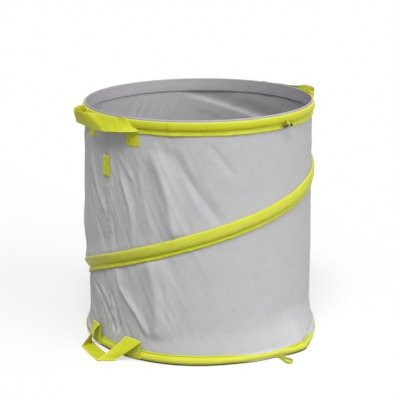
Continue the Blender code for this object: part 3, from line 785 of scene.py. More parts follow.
def mark(made, **layers):
    """Store 0 to 1 values for each point of a mesh, such as its soil and painted shade, for its
    material.
    """
    for name, values in layers.items():
        layer = made.data.attributes.new(name, "FLOAT", "POINT")
        values = np.broadcast_to(np.clip(values, 0, 1).ravel(), len(made.data.vertices))
        layer.data.foreach_set("value", values.astype(np.float32))
    return made


def sweep(name, around, outline, thick, closed, material):
    """Layer with a thickness over outlines of radius and height; also gives its sections."""
    return round_skin(name, around, thicken(outline, thick), closed, [material])


def threads(name, paths, material, pitch=STITCH_PITCH):
    """Rows of short stitches. Each path is (points, outward normals)."""
    spots, ups = [], []
    for points, normals in paths:
        gone = run_of(points)
        count = max(1, int(gone[-1] / pitch))
        shares = np.array(STITCH_STATIONS) * STITCH_SHARE
        where = (np.arange(count)[:, None] + (1 - STITCH_SHARE) / 2 + shares) * gone[-1] / count
        spots.append(np.stack([np.interp(where, gone, points[:, k]) for k in range(3)], axis=-1))
        ups.append(np.stack([np.interp(where, gone, normals[:, k]) for k in range(3)], axis=-1))
    spots, ups = np.concatenate(spots), unit(np.concatenate(ups))
    sides = unit(np.cross(unit(np.gradient(spots, axis=1)), ups))
    lift = THREAD_RADIUS * np.array(STITCH_LIFTS)[None, :, None]
    girth = THREAD_RADIUS * np.array(STITCH_GIRTHS)[None, :, None, None]
    turn = np.arange(THREAD_SIDES) * math.tau / THREAD_SIDES
    wheel = np.cos(turn)[:, None] * sides[:, :, None, :] + np.sin(turn)[:, None] * ups[:, :, None, :]
    rings = (spots + ups * lift)[:, :, None, :] + wheel * girth
    count, stages = rings.shape[:2]
    base = np.arange(count)[:, None, None] * stages * THREAD_SIDES
    i, j = np.meshgrid(np.arange(stages - 1), np.arange(THREAD_SIDES), indexing="ij")
    i, j = i.ravel()[None, :], j.ravel()[None, :]
    near, far, j2 = i * THREAD_SIDES, (i + 1) * THREAD_SIDES, (j + 1) % THREAD_SIDES
    quads = np.stack([near + j, near + j2, far + j2, far + j], axis=-1)
    quads = (quads + base).reshape(-1, 4)
    flat = rings.reshape(-1, 3)
    first = np.arange(THREAD_SIDES)[::-1]
    last = np.arange(THREAD_SIDES) + (stages - 1) * THREAD_SIDES
    ends = (np.stack([first, last])[None] + base).reshape(-1, THREAD_SIDES)
    faces = quads.tolist() + ends.tolist()
    a, b, c = (flat[quads[:, n]] for n in range(3))
    volume = np.einsum("ij,ij->", a - spots[0, 0], np.cross(b - a, c - a))
    if volume < 0:
        faces = [face[::-1] for face in faces]
    return mesh_piece(name, flat, faces, [material])


def ring_path(azimuths, radius, height, facing=1):
    """Path round the bag with normals that point out, or in where facing is -1."""
    return at(azimuths, radius, height), facing * at(azimuths, 1.0, 0.0)


# Materials


class Graph:
    """A material's node tree, with short ways to add and join nodes."""

    def __init__(self, name):
        self.material = bpy.data.materials.new(name)
        self.material.use_nodes = True
        self.tree = self.material.node_tree
        self.shader = self.tree.nodes["Principled BSDF"]

    def node(self, kind, *values, **inputs):
        """New node, with values for its first inputs or for inputs by name."""
        made = self.tree.nodes.new("ShaderNode" + kind)
        for key, value in [*enumerate(values), *inputs.items()]:
            self.feed(made.inputs[key], value)
        return made

    def feed(self, socket, value):
        """Link a socket into a socket, or set its value."""
        if isinstance(value, bpy.types.NodeSocket):
            self.tree.links.new(value, socket)
        else:
            socket.default_value = value

    def math(self, operation, a, b=0.0, clamp=False):
        """Sum, product or other result of two values."""
        made = self.node("Math", a, b)
        made.operation = operation
        made.use_clamp = clamp
        return made.outputs[0]

    def scaled(self, a, share, clamp=False):
        """Product of two values."""
        return self.math("MULTIPLY", a, share, clamp)

    def mix(self, share, a, b):
        """Colour mix; a and b are colours or sockets."""
        made = self.tree.nodes.new("ShaderNodeMix")
        made.data_type = "RGBA"
        self.feed(made.inputs[0], share)
        for place, value in ((6, a), (7, b)):
            self.feed(made.inputs[place], (*value, 1.0) if isinstance(value, tuple) else value)
        return made.outputs[2]

    def noise(self, vector, scale, detail=2.0, rough=0.5):
        """Cloudy noise, 0 to 1."""
        made = self.node("TexNoise", Vector=vector, Scale=scale, Detail=detail, Roughness=rough)
        return made.outputs["Fac"]

    def stretch(self, vector, x, y, z=1.0):
        """A place scaled along its axes."""
        made = self.node("VectorMath", vector, (x, y, z))
        made.operation = "MULTIPLY"
        return made.outputs[0]

    def cloth_uv(self):
        """Place on the cloth, in metres."""
        made = self.tree.nodes.new("ShaderNodeUVMap")
        made.uv_map = "cloth"
        return made.outputs[0]

    def value(self, name):
        """A value stored with the mesh's points."""
        made = self.tree.nodes.new("ShaderNodeAttribute")
        made.attribute_name = name
        return made.outputs["Fac"]

    def finish(self, colour, height, strength, distance, **values):
        """Give the shader its colour, its relief and the values of other inputs."""
        bump = self.node("Bump", Strength=strength, Distance=distance, Height=height)
        self.feed(self.shader.inputs["Base Color"], colour)
        self.feed(self.shader.inputs["Normal"], bump.outputs[0])
        for key, value in values.items():
            self.feed(self.shader.inputs[key.replace("_", " ")], value)
        return self.material


def weave(graph, uv, pitch):
    """Plain weave height, 0 to 1: warp yarns over weft yarns in a checker."""
    split = graph.node("SeparateXYZ", uv)
    u, v = (graph.scaled(split.outputs[k], math.pi / pitch) for k in (0, 1))
    warp, weft = (graph.math("ABSOLUTE", graph.math("SINE", turn)) for turn in (u, v))
    turned = graph.scaled(graph.math("COSINE", u), graph.math("COSINE", v))
    over = graph.math("GREATER_THAN", turned, 0.0)
    low = graph.scaled(weft, graph.math("SUBTRACT", 1.0, over))
    return graph.math("ADD", graph.scaled(warp, over), low)


def woven(
    name, colour, shade, pitch, relief, rough, sheen, gloss, soil_colour, worn_colour=None
):
    """Woven cloth: weave relief, uneven yarns, mottling, soil with painted shade, and optional wear."""
    graph = Graph(name)
    uv = graph.cloth_uv()
    yarn = weave(graph, uv, pitch)
    slub_up = graph.noise(graph.stretch(uv, 340.0, 60.0), 1.0, 4.0, 0.75)
    slub_on = graph.noise(graph.stretch(uv, 60.0, 340.0), 1.0, 4.0, 0.75)
    mottle = graph.noise(uv, 26.0, 5.0, 0.65)
    tone = graph.scaled(slub_up, 0.46)
    for part, weight in ((slub_on, 0.52), (mottle, 0.50), (yarn, 0.22)):
        tone = graph.math("ADD", tone, graph.scaled(part, weight))
    tone = graph.scaled(graph.math("SUBTRACT", tone, 0.52), 1.60, clamp=True)
    made = graph.mix(tone, shade, colour)
    if worn_colour:
        rubbed = graph.scaled(graph.value("wear"), graph.noise(uv, 160.0, 3.0), clamp=True)
        made = graph.mix(rubbed, made, worn_colour)
    # Soil and painted shade: patches of the darker soil colour are mixed in where the mesh's stored
    # values are high
    patchy = graph.scaled(graph.noise(uv, 34.0, 5.0, 0.65), 1.5)
    soil_and_shade_share = graph.scaled(graph.value("soil"), patchy, clamp=True)
    made = graph.mix(soil_and_shade_share, made, soil_colour)
    polish = graph.math("ADD", rough - 0.06, graph.scaled(mottle, 0.12))
    height = graph.math("ADD", graph.scaled(yarn, 0.8), graph.scaled(mottle, 0.5))
    return graph.finish(
        made, height, 0.55, relief,
        Roughness=polish, Specular_IOR_Level=gloss, Sheen_Weight=sheen, Sheen_Roughness=0.45,
    )


def thread_material(name, colour, shade):
    """Sewing thread: a slight change of tone from stitch to stitch, and a soft gloss."""
    graph = Graph(name)
    place = graph.node("TexCoord").outputs["Object"]
    made = graph.mix(graph.noise(place, 300.0, 2.0), shade, colour)
    twist = graph.noise(place, 2600.0, 1.0)
    return graph.finish(
        made, twist, 0.4, 0.0001, Roughness=0.55, Sheen_Weight=0.2, Specular_IOR_Level=0.4
    )


def steel_material():
    """Drawn spring wire: fine lengthwise marks and a little dulling."""
    graph = Graph("look_spring_steel")
    place = graph.node("TexCoord").outputs["Object"]
    marks = graph.noise(graph.stretch(place, 1.0, 1.0, 12.0), 900.0, 3.0)
    stain = graph.noise(place, 40.0, 4.0)
    made = graph.mix(stain, (0.36, 0.36, 0.37), (0.62, 0.62, 0.63))
    rough = graph.math("ADD", 0.24, graph.scaled(stain, 0.25))
    return graph.finish(made, marks, 0.2, 0.00005, Roughness=rough, Metallic=1.0)


def moulded_material(name, colour, shade, rough):
    """Moulded plastic or vinyl with a fine grain."""
    graph = Graph(name)
    place = graph.node("TexCoord").outputs["Object"]
    tone = graph.noise(place, 120.0, 3.0)
    grain = graph.noise(place, 2200.0, 2.0)
    gloss = graph.math("ADD", rough, graph.scaled(tone, 0.12))
    made = graph.mix(tone, shade, colour)
    return graph.finish(made, grain, 0.25, 0.00008, Roughness=gloss, Specular_IOR_Level=0.5)


GREY = woven(
    "look_grey_cloth", (0.555, 0.555, 0.563), (0.435, 0.435, 0.448), 0.0011, 0.00022, 0.80, 0.08, 0.22,
    soil_colour=(0.330, 0.315, 0.290), worn_colour=(0.600, 0.600, 0.600),
)
INSIDE = woven(
    "look_grey_inside", (0.490, 0.480, 0.495), (0.410, 0.400, 0.420), 0.0011, 0.00016, 0.62, 0.05, 0.22,
    soil_colour=(0.230, 0.215, 0.190),
)
LIME = woven(
    "look_lime_tape", (0.615, 0.645, 0.012), (0.505, 0.535, 0.007), 0.0012, 0.00018, 0.50, 0.03, 0.30,
    soil_colour=(0.320, 0.320, 0.060), worn_colour=(0.800, 0.820, 0.260),
)
DARK = woven(
    "look_floor_cloth", (0.070, 0.070, 0.075), (0.045, 0.045, 0.050), 0.0014, 0.00030, 0.80, 0.10, 0.25,
    soil_colour=(0.120, 0.105, 0.080),
)
LIME_THREAD = thread_material("look_lime_thread", (0.700, 0.720, 0.080), (0.520, 0.550, 0.040))
GREY_THREAD = thread_material("look_grey_thread", (0.520, 0.520, 0.530), (0.380, 0.380, 0.390))
STEEL = steel_material()
VINYL = moulded_material("look_black_vinyl", (0.030, 0.030, 0.030), (0.018, 0.018, 0.018), 0.42)
PLASTIC = moulded_material("look_toggle_plastic", (0.035, 0.035, 0.036), (0.022, 0.022, 0.023), 0.30)


def full_ring(step):
    """Azimuths of a whole turn."""
    return np.arange(-180.0, 180.0 - step / 2, step)


def build_wall_band(name, low, high, rows):
    """A band of the cloth tube, with its folds, seam ridge and flared foot, cut off square."""
    around = full_ring(WALL_STEP_DEG)
    aside = around - SEAM_DEG
    left, right, count = SEAM_COLUMNS_DEG
    clear = (aside < left - 0.2) | (aside > right + 0.2)
    around = np.sort(np.concatenate([around[clear], SEAM_DEG + np.linspace(left, right, count)]))
    azimuth, height = grid(around, low, high, rows)
    outline = np.stack([wall_radius(azimuth, height), height], axis=-1)
    sections = np.delete(thicken(outline, FABRIC_THICK), [rows, 2 * rows + 1], axis=1)
    # Where the wall rolls over the hoop, an inner layer goes straight down behind it
    sections[:, rows:, 0] -= roll_out(around[:, None], sections[:, rows:, 1])
    made, _ = round_skin(name, around, sections, True, [GREY, INSIDE], np.repeat([0, 1], rows))
    # Soil and painted shade: the wall darker towards its foot
    mark(made, soil=WALL_FOOT_SOIL_AND_SHADE * np.exp(-sections[..., 1] / WALL_FOOT_SOIL_AND_SHADE_HEIGHT))
    stands = sections[..., 0] - WALL_RADIUS - foot_kink(around)[:, None]
    return mark(made, wear=0.25 * smooth((stands - 0.004) / 0.006))


def rim_outline(azimuth):
    """Outer side of the rim band: a flat lower half and a rounded welt over the hoop."""
    flat_high = RIM_ARCH_MIDDLE - RIM_ARCH_HALF
    low = np.linspace(RIM_BOTTOM, flat_high, 8)
    turn = np.radians(np.linspace(-90, 90, 19))
    arch_high = RIM_ARCH_MIDDLE + RIM_ARCH_HALF * np.sin(turn)
    arch_out = RIM_FLAT + RIM_ARCH_DEPTH * np.cos(turn) ** 0.72
    high = np.concatenate([low[:-1], arch_high])
    flare = RIM_FLARE * ((flat_high - low[:-1]) / (flat_high - RIM_BOTTOM)) ** 1.3
    out = np.concatenate([RIM_FLAT + flare, arch_out])
    azimuth, high = np.meshgrid(azimuth, high, indexing="ij")
    share = (high - RIM_BOTTOM) / (RIM_TOP - RIM_BOTTOM)
    flat_part = 1 - smooth((share - 0.30) / 0.12)
    ripple = ring_relief(azimuth, high, RIM_RIPPLES) * (0.35 + 0.9 * flat_part * (1 - share / 0.4))
    out = out + ripple + ring_relief(azimuth, high, RIM_DENTS)
    high = high + ring_relief(azimuth, 0.0, RIM_WANDERS) * (1 - share)
    out = np.maximum(out, wall_radius(azimuth, high) + RIM_OVER_WALL - OUTER_FACE)
    return np.stack([OUTER_FACE + np.maximum(out, BAND_LEAST), high], axis=-1)


def rim_marks(made, sections):
    """Wear on the rim band's edges, and a little soil."""
    share = (sections[..., 1] - RIM_BOTTOM) / (RIM_TOP - RIM_BOTTOM)
    return mark(made, wear=0.7 * near_edges(share, 0, 1, 0.05), soil=0.10)


def build_rim_band():
    """Lime band round the mouth."""
    around = full_ring(0.5)
    made, sections = sweep("rim_band", around, rim_outline(around), TAPE_THICK, True, LIME)
    return rim_marks(made, sections)


def build_rim_join():
    """Where the band's ends lap: a second layer, folded under at its edge."""
    around = np.linspace(RIM_JOIN_DEG, RIM_JOIN_DEG + RIM_JOIN_LENGTH_DEG, 24)
    outline = rim_outline(around)
    gone = around - RIM_JOIN_DEG
    lift = RIM_JOIN_LIFT + RIM_JOIN_LIFT / 2 * np.exp(-((gone / 0.35) ** 2))
    fade = 1 - 0.75 * smooth((gone - RIM_JOIN_LENGTH_DEG * 0.4) / (RIM_JOIN_LENGTH_DEG * 0.6))
    outline[..., 0] += (lift * fade)[:, None]
    made, sections = sweep("rim_band_join", around, outline, TAPE_THICK, False, LIME)
    return rim_marks(made, sections)


def rim_face(azimuth, height):
    """Radius of the wall or rim band at a height, without its ripples."""
    arch = np.sqrt(np.clip(1 - ((height - RIM_ARCH_MIDDLE) / RIM_ARCH_HALF) ** 2, 0, 1))
    band = OUTER_FACE + RIM_FLAT + RIM_ARCH_DEPTH * arch
    bare = wall_radius(azimuth, height)
    return bare + (band - bare) * smooth((height - RIM_BOTTOM + 0.004) / 0.006)


def build_hem():
    """Grey hem inside the mouth, turned over the top edge as a thin lip."""
    around = full_ring(0.75)
    inner = INNER_FACE - FABRIC_THICK
    lip = OUTER_FACE + FABRIC_THICK
    top = BAG_TOP - FABRIC_THICK
    bend = top - HEM_LIP_LOW
    line = [(inner, h) for h in np.linspace(HEM_BOTTOM, bend, 9)]
    middle, half = (inner + lip) / 2, (lip - inner) / 2
    turns = np.radians(np.linspace(180, 0, 9))
    line += [(middle + half * math.cos(t), bend + HEM_LIP_RISE * math.sin(t)) for t in turns]
    line += [(lip, top - drop) for drop in HEM_LIP_DROPS]
    outline = np.repeat(np.array(line)[None], len(around), axis=0)
    share = smooth((BAG_TOP - 0.004 - outline[..., 1]) / 0.02) * (outline[..., 0] < middle)
    wave = ring_noise(around[:, None], outline[..., 1], 0.018, 0.030, 14)
    slow = ring_noise(around[:, None], outline[..., 1], 0.060, 0.060, 15)
    outline[..., 0] -= share * (0.0006 * (wave + 1) * 0.5 + 0.0008 * np.clip(slow, 0, 1))
    outline[..., 1] += 0.0007 * ring_noise(around, 0.0, 0.040, 1.0, 16)[:, None] * share
    made, _ = sweep("rim_hem", around, outline[:, ::-1], FABRIC_THICK, True, INSIDE)
    return mark(made, soil=0.12)


def base_outline(azimuth):
    """Outer side of the base band: a round welt, a groove, and a narrow lip above."""
    turn = np.radians(np.linspace(-90, 82, 18))
    high = np.append(BASE_ARCH_MIDDLE + BASE_ARCH_HALF * np.sin(turn), BASE_LIP_HEIGHTS)
    out = np.append(BASE_LEAST + BASE_ARCH_DEPTH * np.cos(turn) ** 0.75, BASE_LIP_OUTS)
    share = (high - high[0]) / (high[-1] - high[0])
    rolled = np.interp(share, *BASE_ROLLED)
    edge = roll_out(azimuth, base_top(azimuth))[:, None] + ROLL_EDGE
    rolled = rolled + (edge - rolled) * np.clip((share - 0.7) / 0.3, 0, 1)
    azimuth, share = np.meshgrid(azimuth, share, indexing="ij")
    roll = foot_roll(azimuth)
    tall = base_top(azimuth) - high[0] + ring_relief(azimuth, 0.0, BASE_WANDERS)
    high = high[0] + share * tall
    out = out * (1 - roll) + rolled * roll
    out = np.minimum(out + ring_relief(azimuth, high, BASE_RIPPLES) * smooth(share / 0.2), BASE_MOST)
    return np.stack([BASE_FACE + foot_kink(azimuth) + out, high], axis=-1)


def build_base_band():
    """Lime band round the foot, over the hoop."""
    around = full_ring(0.5)
    made, sections = sweep("base_band", around, base_outline(around), TAPE_THICK, True, LIME)
    share = (sections[..., 1] - BASE_BOTTOM) / (BASE_TOP - BASE_BOTTOM)
    # Painted contact shade with a little soil: the band's lower part darker towards the floor
    mark(made, soil=0.75 * (1 - smooth(share / 0.45)))
    crown = sections[..., 0] - foot_kink(around)[:, None] - BASE_RADIUS
    return mark(made, wear=0.6 * np.exp(-((crown / 0.0012) ** 2)))


def sleeve_outline(azimuth):
    """Outer side of the sleeve as radius and height: a flat strip, a crease, and the arch."""
    carry = track(azimuth, SLEEVE_CARRIES, 6)[:, None] / SLEEVE_FULL_CARRY
    crease = SLEEVE_CREASE + SLEEVE_CREASE_RISE * carry
    strip = -SLEEVE_HALF + (crease + SLEEVE_HALF) * np.linspace(0, 1, 7)[:-1]
    strip_out = np.broadcast_to(SLEEVE_STRIP_OUTS, strip.shape)
    turn = np.radians(np.linspace(-90, 90, 21))
    top = SLEEVE_HALF - 0.0012
    middle, half = (crease + top) / 2, (top - crease) / 2
    drop = (0.0022 + 0.0014 * carry) * np.cos(turn) ** 2
    arch = middle + half * np.sin(turn) - drop * (1 - np.sin(turn)) * 0.5
    depth = SLEEVE_DEPTH * (1 - 0.45 * carry)
    tip = 0.60 * carry - 0.10 * (1 - carry)
    arch_out = SLEEVE_LEAST + depth * np.cos(turn) ** 0.75 * (1 + tip * np.sin(turn))
    last = np.full(carry.shape, SLEEVE_HALF - 0.0004)
    offset = np.concatenate([strip, arch, last], axis=1)
    out = np.concatenate([strip_out, arch_out, np.full(carry.shape, SLEEVE_LEAST)], axis=1)
    azimuth = np.broadcast_to(azimuth[:, None], offset.shape)
    end = np.minimum(azimuth - SPIRAL_START_DEG, SPIRAL_STOP_DEG - azimuth)
    full = 0.18 + 0.82 * smooth(end / SLEEVE_END_DEG)
    puff = 1 + ring_relief(azimuth, offset, SLEEVE_PUFFS)
    dents = ring_relief(azimuth, offset, SLEEVE_DENTS) * smooth(end / 2)
    out = np.maximum(out * puff * full + dents + 0.0002, SLEEVE_LEAST)
    waves = ring_relief(azimuth, offset / (2 * SLEEVE_HALF), SLEEVE_WAVES)
    wander = ring_relief(azimuth, 0.0, SLEEVE_WANDERS) + waves
    height = spiral_height(azimuth) + offset + wander
    low = wall_offset(azimuth[:, :1], height[:, :1])
    high = wall_offset(azimuth[:, -1:], height[:, -1:])
    lean = np.clip((offset - crease) / (SLEEVE_HALF - crease), 0, 1) ** (0.6 + 0.7 * carry)
    strip_lean = smooth((offset + SLEEVE_HALF) / 0.006)
    radius = OUTER_FACE + out + np.maximum(low * (1 - strip_lean), 0) + high * lean
    radius = radius + flare_out(height)
    return np.maximum(radius, wall_radius(azimuth, height) + SLEEVE_OVER_WALL), height


def build_sleeve():
    """Tape band that climbs round the wall over the spring."""
    around = np.arange(SPIRAL_START_DEG, SPIRAL_STOP_DEG + 0.25, 0.5)
    outline = np.stack(sleeve_outline(around), axis=-1)
    made, sections = sweep("sleeve_tape", around, outline, TAPE_THICK, False, LIME)
    off = sections[..., 1] - spiral_height(around)[:, None]
    edges = near_edges(off, -SLEEVE_HALF, SLEEVE_HALF, 0.0012)
    crown = smooth((sections[..., 0] - OUTER_FACE - 0.006) / 0.002)
    return mark(made, wear=0.6 * edges + 0.35 * crown, soil=0.16)


def build_seam_tape(name, low, high, rows):
    """Bound seam allowance behind the side seam."""
    half = degrees_of(SEAM_TAPE_WIDTH, INNER_FACE) / 2
    around = SEAM_DEG + np.linspace(-half, half, 9)
    azimuth, height = grid(around, low, high, rows)
    radius = wall_radius(azimuth, height) - FABRIC_THICK - LAYER_GAP
    bow = 0.0006 * (1 - ((azimuth - SEAM_DEG) / half) ** 2)
    radius = radius - bow - 0.0003 * (1 + ring_noise(azimuth, height, 0.02, 0.012, 28))
    made, _ = sweep(name, around, np.stack([radius, height], axis=-1), TAPE_THICK, False, INSIDE)
    return mark(made, soil=0.1)


def build_tag():
    """Folded tag sewn into the side seam by one edge; the rest lifts off the wall."""
    around = TAG_DEG - np.linspace(0, degrees_of(TAG_WIDTH), 15)[::-1]
    azimuth, height = grid(around, TAG_BOTTOM, TAG_TOP, 16)
    away = (TAG_DEG - azimuth) / degrees_of(TAG_WIDTH)
    up = (height - TAG_BOTTOM) / (TAG_TOP - TAG_BOTTOM)
    curl = TAG_CURL * away**1.6 * (1 + 0.5 * np.sin(2.2 * up + 0.6))
    radius = wall_radius(azimuth, height) + LAYER_GAP + 0.0017 + curl
    radius = radius + away * ring_relief(azimuth, height, TAG_WAVES)
    made, sections = sweep("tag", around, np.stack([radius, height], axis=-1), TAG_THICK, False, LIME)
    share = (sections[..., 1] - TAG_BOTTOM) / (TAG_TOP - TAG_BOTTOM)
    return mark(made, wear=0.5 * near_edges(share, 0, 1, 0.05), soil=0.0)


def floor_layer(name, around, spread, top, bottom):
    """Round layer of the floor between two surfaces."""
    upper = np.stack([spread, top], axis=-1)
    lower = np.stack([spread, bottom], axis=-1)
    sections = np.concatenate([upper, lower[:, ::-1]], axis=1)
    return round_skin(name, around, sections, True, [DARK])


def build_floor():
    """Floor cloth: a flat sewn edge, and a field that has settled in soft waves."""
    field = np.linspace(5 * FLOOR_EYE, FLOOR_RADIUS - FLOOR_EDGE, 26)
    rings = np.concatenate([[FLOOR_EYE], field, [FLOOR_RADIUS]])
    around = full_ring(2.0)
    azimuth, radius = np.meshgrid(around, rings, indexing="ij")
    spread = radius + foot_kink(azimuth) * smooth((radius - 0.235) / 0.030)
    calm = smooth((FLOOR_RADIUS - 0.018 - radius) / 0.05)
    spots = at(azimuth, radius, 0.0) / FLOOR_WAVE_RUN
    wave = FLOOR_WAVE * gradient_noise(*np.moveaxis(spots, -1, 0))
    top = FLOOR_TOP - FLOOR_PUFF / 2 + calm * (FLOOR_PUFF + wave)
    bottom = np.full(top.shape, FLOOR_UNDER)
    made, sections = floor_layer("floor_cloth", around, spread, top, bottom)
    return mark(made, soil=0.5 * smooth(sections[..., 0] / FLOOR_RADIUS))


def build_floor_patch():
    """Round patch sewn over the middle of the floor."""
    around = full_ring(2.0)
    spread = np.tile(PATCH_RINGS, (len(around), 1))
    top = FLOOR_TOP + PATCH_LIFT - 0.0004 * smooth((spread - 0.017) / 0.003)
    made, _ = floor_layer("floor_patch", around, spread, top, top - PATCH_THICK)
    return mark(made, soil=0.3)


def curve_through(nodes, steps):
    """Smooth run through rows of points, an array (rows, ...), by chord length."""
    nodes = np.asarray(nodes, float)
    middle = nodes.reshape(len(nodes), -1)
    gaps = np.linalg.norm(np.diff(middle, axis=0), axis=1) ** 0.6
    knots = np.concatenate([[0.0], np.cumsum(gaps)])
    last = len(nodes) - 1
    slope = np.zeros_like(nodes)
    for k in range(len(nodes)):
        low, high = max(k - 1, 0), min(k + 1, last)
        slope[k] = (nodes[high] - nodes[low]) / (knots[high] - knots[low])
    out = []
    for k in range(last):
        span = knots[k + 1] - knots[k]
        count = steps if k < last - 1 else steps + 1
        for t in np.arange(count) / steps:
            a, b = 2 * t**3 - 3 * t**2 + 1, t**3 - 2 * t**2 + t
            c, d = -2 * t**3 + 3 * t**2, t**3 - t**2
            out.append(a * nodes[k] + b * span * slope[k] + c * nodes[k + 1] + d * span * slope[k + 1])
    return np.array(out)


def ribbon(name, edges, thick, across, flutter, seed):
    """Lime strap along pairs of edge points (rows, 2, 3), thickness square to its run."""
    middle = edges.mean(axis=1)
    normals = unit(np.cross(edges[:, 1] - edges[:, 0], np.gradient(middle, axis=0)))
    share = np.linspace(0, 1, across)
    face = edges[:, :1] + (edges[:, 1:] - edges[:, :1]) * share[None, :, None]
    gone = run_of(middle)
    wave = gradient_noise(gone[:, None] / 0.022, share[None] * 1.6, seed + 0.5)
    calm = smooth(gone / 0.02) * smooth((gone[-1] - gone) / 0.02)
    face = face + normals[:, None] * (flutter * wave * calm[:, None])[..., None]
    rounding = np.minimum(1, np.minimum(share, 1 - share) / 0.06 + 0.45)
    half = normals[:, None] * (thick / 2 * rounding)[None, :, None]
    sections = np.concatenate([face + half, (face - half)[:, ::-1]], axis=1)
    made = skin(name, sections, False, [LIME])
    side = np.concatenate([share, share[::-1]])
    edge = np.exp(-np.minimum(side, 1 - side) / 0.035)
    return mark(made, wear=np.repeat(0.65 * edge[None], len(edges), axis=0), soil=0.10)


def top_tab(name, middle_deg, turn):
    """Sewn end of a top handle: up the wall, over the band, cut off by the fold."""
    half = degrees_of(STRAP_WIDTH) / 2
    share = np.linspace(0, 1, 13)
    around = middle_deg + turn + half - 2 * half * share
    s, t = np.meshgrid(share, np.linspace(0, 1, 26), indexing="ij")
    fold_low, fold_high = BAG_TOP - TOP_LOOP[0][0][2], BAG_TOP - TOP_LOOP[0][1][2]
    top = fold_low + 0.001 + (fold_high - fold_low - 0.002) * s
    height = TOP_TAB_BOTTOM + (top - TOP_TAB_BOTTOM) * t
    azimuth = around[:, None] + 0 * height
    radius = rim_face(azimuth, height) + LAYER_GAP + STRAP_THICK
    pillow = 0.0004 * np.sin(np.pi * s) * np.sin(np.pi * np.clip(t * 1.3, 0, 1))
    radius = radius + pillow + ring_relief(azimuth, height, TAB_WAVES)
    outline = np.stack([radius, height], axis=-1)
    made, sections = sweep(name, around, outline, STRAP_THICK, False, LIME)
    return mark(made, wear=0.7 * np.exp(-np.abs(sections[..., 1] - TOP_TAB_BOTTOM) / 0.002), soil=0.08)


def top_tab_face(azimuth, height):
    """Radius at which stitches lie on a top handle's sewn end."""
    return rim_face(azimuth, height) + LAYER_GAP + STRAP_THICK + 3 * ROW_LIFT


def bottom_tab_face(azimuth, height):
    """Radius at which stitches lie on the bottom handle's sewn end."""
    return np.full(np.shape(azimuth), BOTTOM_FOLD_RADIUS + STRAP_THICK / 2)


def tab_stitches(name, middle_deg, low, high, face):
    """A sewn box with a cross in it."""
    half = degrees_of(STRAP_WIDTH / 2 - BOX_INSET)
    left, right = middle_deg - half, middle_deg + half
    corners = [(left, low), (right, low), (right, high), (left, high)]
    lines = list(zip(corners, corners[1:] + corners[:1]))
    lines += [(corners[0], corners[2]), (corners[1], corners[3])]
    paths = []
    for (a0, h0), (a1, h1) in lines:
        share = np.linspace(0, 1, 12)
        azimuth, height = a0 + (a1 - a0) * share, h0 + (h1 - h0) * share
        paths.append(ring_path(azimuth, face(azimuth, height), height))
    return threads(name, paths, LIME_THREAD, pitch=BOX_PITCH)


def top_loop_edges(turn, lift):
    """Edge pairs of a top handle's loop, from one fold to the other."""
    edges = []
    for low, high in TOP_LOOP:
        raised = lift * float(smooth((high[1] - 0.015) / 0.012))
        pair = [
            at(low[0] + turn, TOP_LOOP_RADIUS + low[1], BAG_TOP - low[2]),
            at(high[0] + turn, TOP_LOOP_RADIUS + high[1], BAG_TOP - high[2] + raised),
        ]
        edges.append(np.stack(pair))
    return edges


def fold_under(pair):
    """Stations that turn a strap about its fold line onto the layer beneath."""
    out = []
    for shift, drop in FOLD_STATIONS:
        made = []
        for point in pair:
            radius = math.hypot(point[0], point[1]) - drop
            azimuth = math.degrees(math.atan2(point[0], -point[1]))
            made.append(at(azimuth + degrees_of(0.7 * shift), radius, point[2] + 0.7 * shift))
        out.append(np.stack(made))
    return out


def build_top_handle(side, turn, lift):
    """A top handle's loop, and its sewn ends with their stitches."""
    edges = top_loop_edges(turn, lift)
    edges = fold_under(edges[0]) + edges + fold_under(edges[-1])[::-1]
    run = curve_through(edges, 7)
    loop = ribbon(f"top_handle_{side}_strap", run, STRAP_THICK, STRAP_COLUMNS, TOP_FLUTTER, 50)
    low, high = TOP_TAB_BOTTOM + TOP_BOX_RISE, RIM_BOTTOM - TOP_BOX_DROP
    tabs = []
    for word, middle in zip(("front", "rear"), TOP_TAB_DEGS):
        tab = top_tab(f"top_handle_{side}_tab_{word}", middle, turn)
        tabs.append((tab, f"top_handle_{side}_end_{word}"))
        rows = f"top_handle_{side}_stitches_{word}"
        tabs.append((tab_stitches(rows, middle + turn, low, high, top_tab_face), None))
    return loop, tabs


def bottom_tab(name, middle_deg, tops):
    """Sewn end of the bottom handle, standing up from the base band."""
    half = degrees_of(STRAP_WIDTH, BOTTOM_FOLD_RADIUS) / 2
    share = np.linspace(0, 1, 11)
    around = middle_deg - half + 2 * half * share
    s, t = np.meshgrid(share, np.linspace(0, 1, 18), indexing="ij")
    top = tops[0] + (tops[1] - tops[0]) * s
    height = BOTTOM_TAB_FOOT + (top - BOTTOM_TAB_FOOT) * t
    azimuth = around[:, None] + 0 * height
    radius = BOTTOM_FOLD_RADIUS + STRAP_THICK / 2 + ring_relief(azimuth, height, BOTTOM_TAB_WAVES)
    outline = np.stack([radius, height], axis=-1)
    made, sections = sweep(name, around, outline, STRAP_THICK, False, LIME)
    # Painted contact shade with a little soil: the tab darker towards the floor
    return mark(made, wear=0.1, soil=0.5 * np.exp(-sections[..., 1] / 0.012))


def build_bottom_handle():
    """The bottom handle's loop, and its sewn ends with their stitches."""
    edges = []
    for row in BOTTOM_LOOP:
        pair = [at(a, BOTTOM_FOLD_RADIUS + reach, high) for a, reach, high in row]
        edges.append(np.stack(pair))
    run = curve_through(edges, 6)
    loop = ribbon("bottom_handle_strap", run, STRAP_THICK, STRAP_COLUMNS, BOTTOM_FLUTTER, 70)
    low, high = BOTTOM_BOX_LOW, BOTTOM_BOX_HIGH
    tabs = []
    for word, middle, tops in zip(("front", "rear"), BOTTOM_TAB_DEGS, BOTTOM_TAB_TOPS):
        tab = bottom_tab(f"bottom_handle_tab_{word}", middle, tops)
        tabs.append((tab, f"bottom_handle_end_{word}"))
        rows = f"bottom_handle_stitches_{word}"
        tabs.append((tab_stitches(rows, middle, low, high, bottom_tab_face), None))
    return loop, tabs


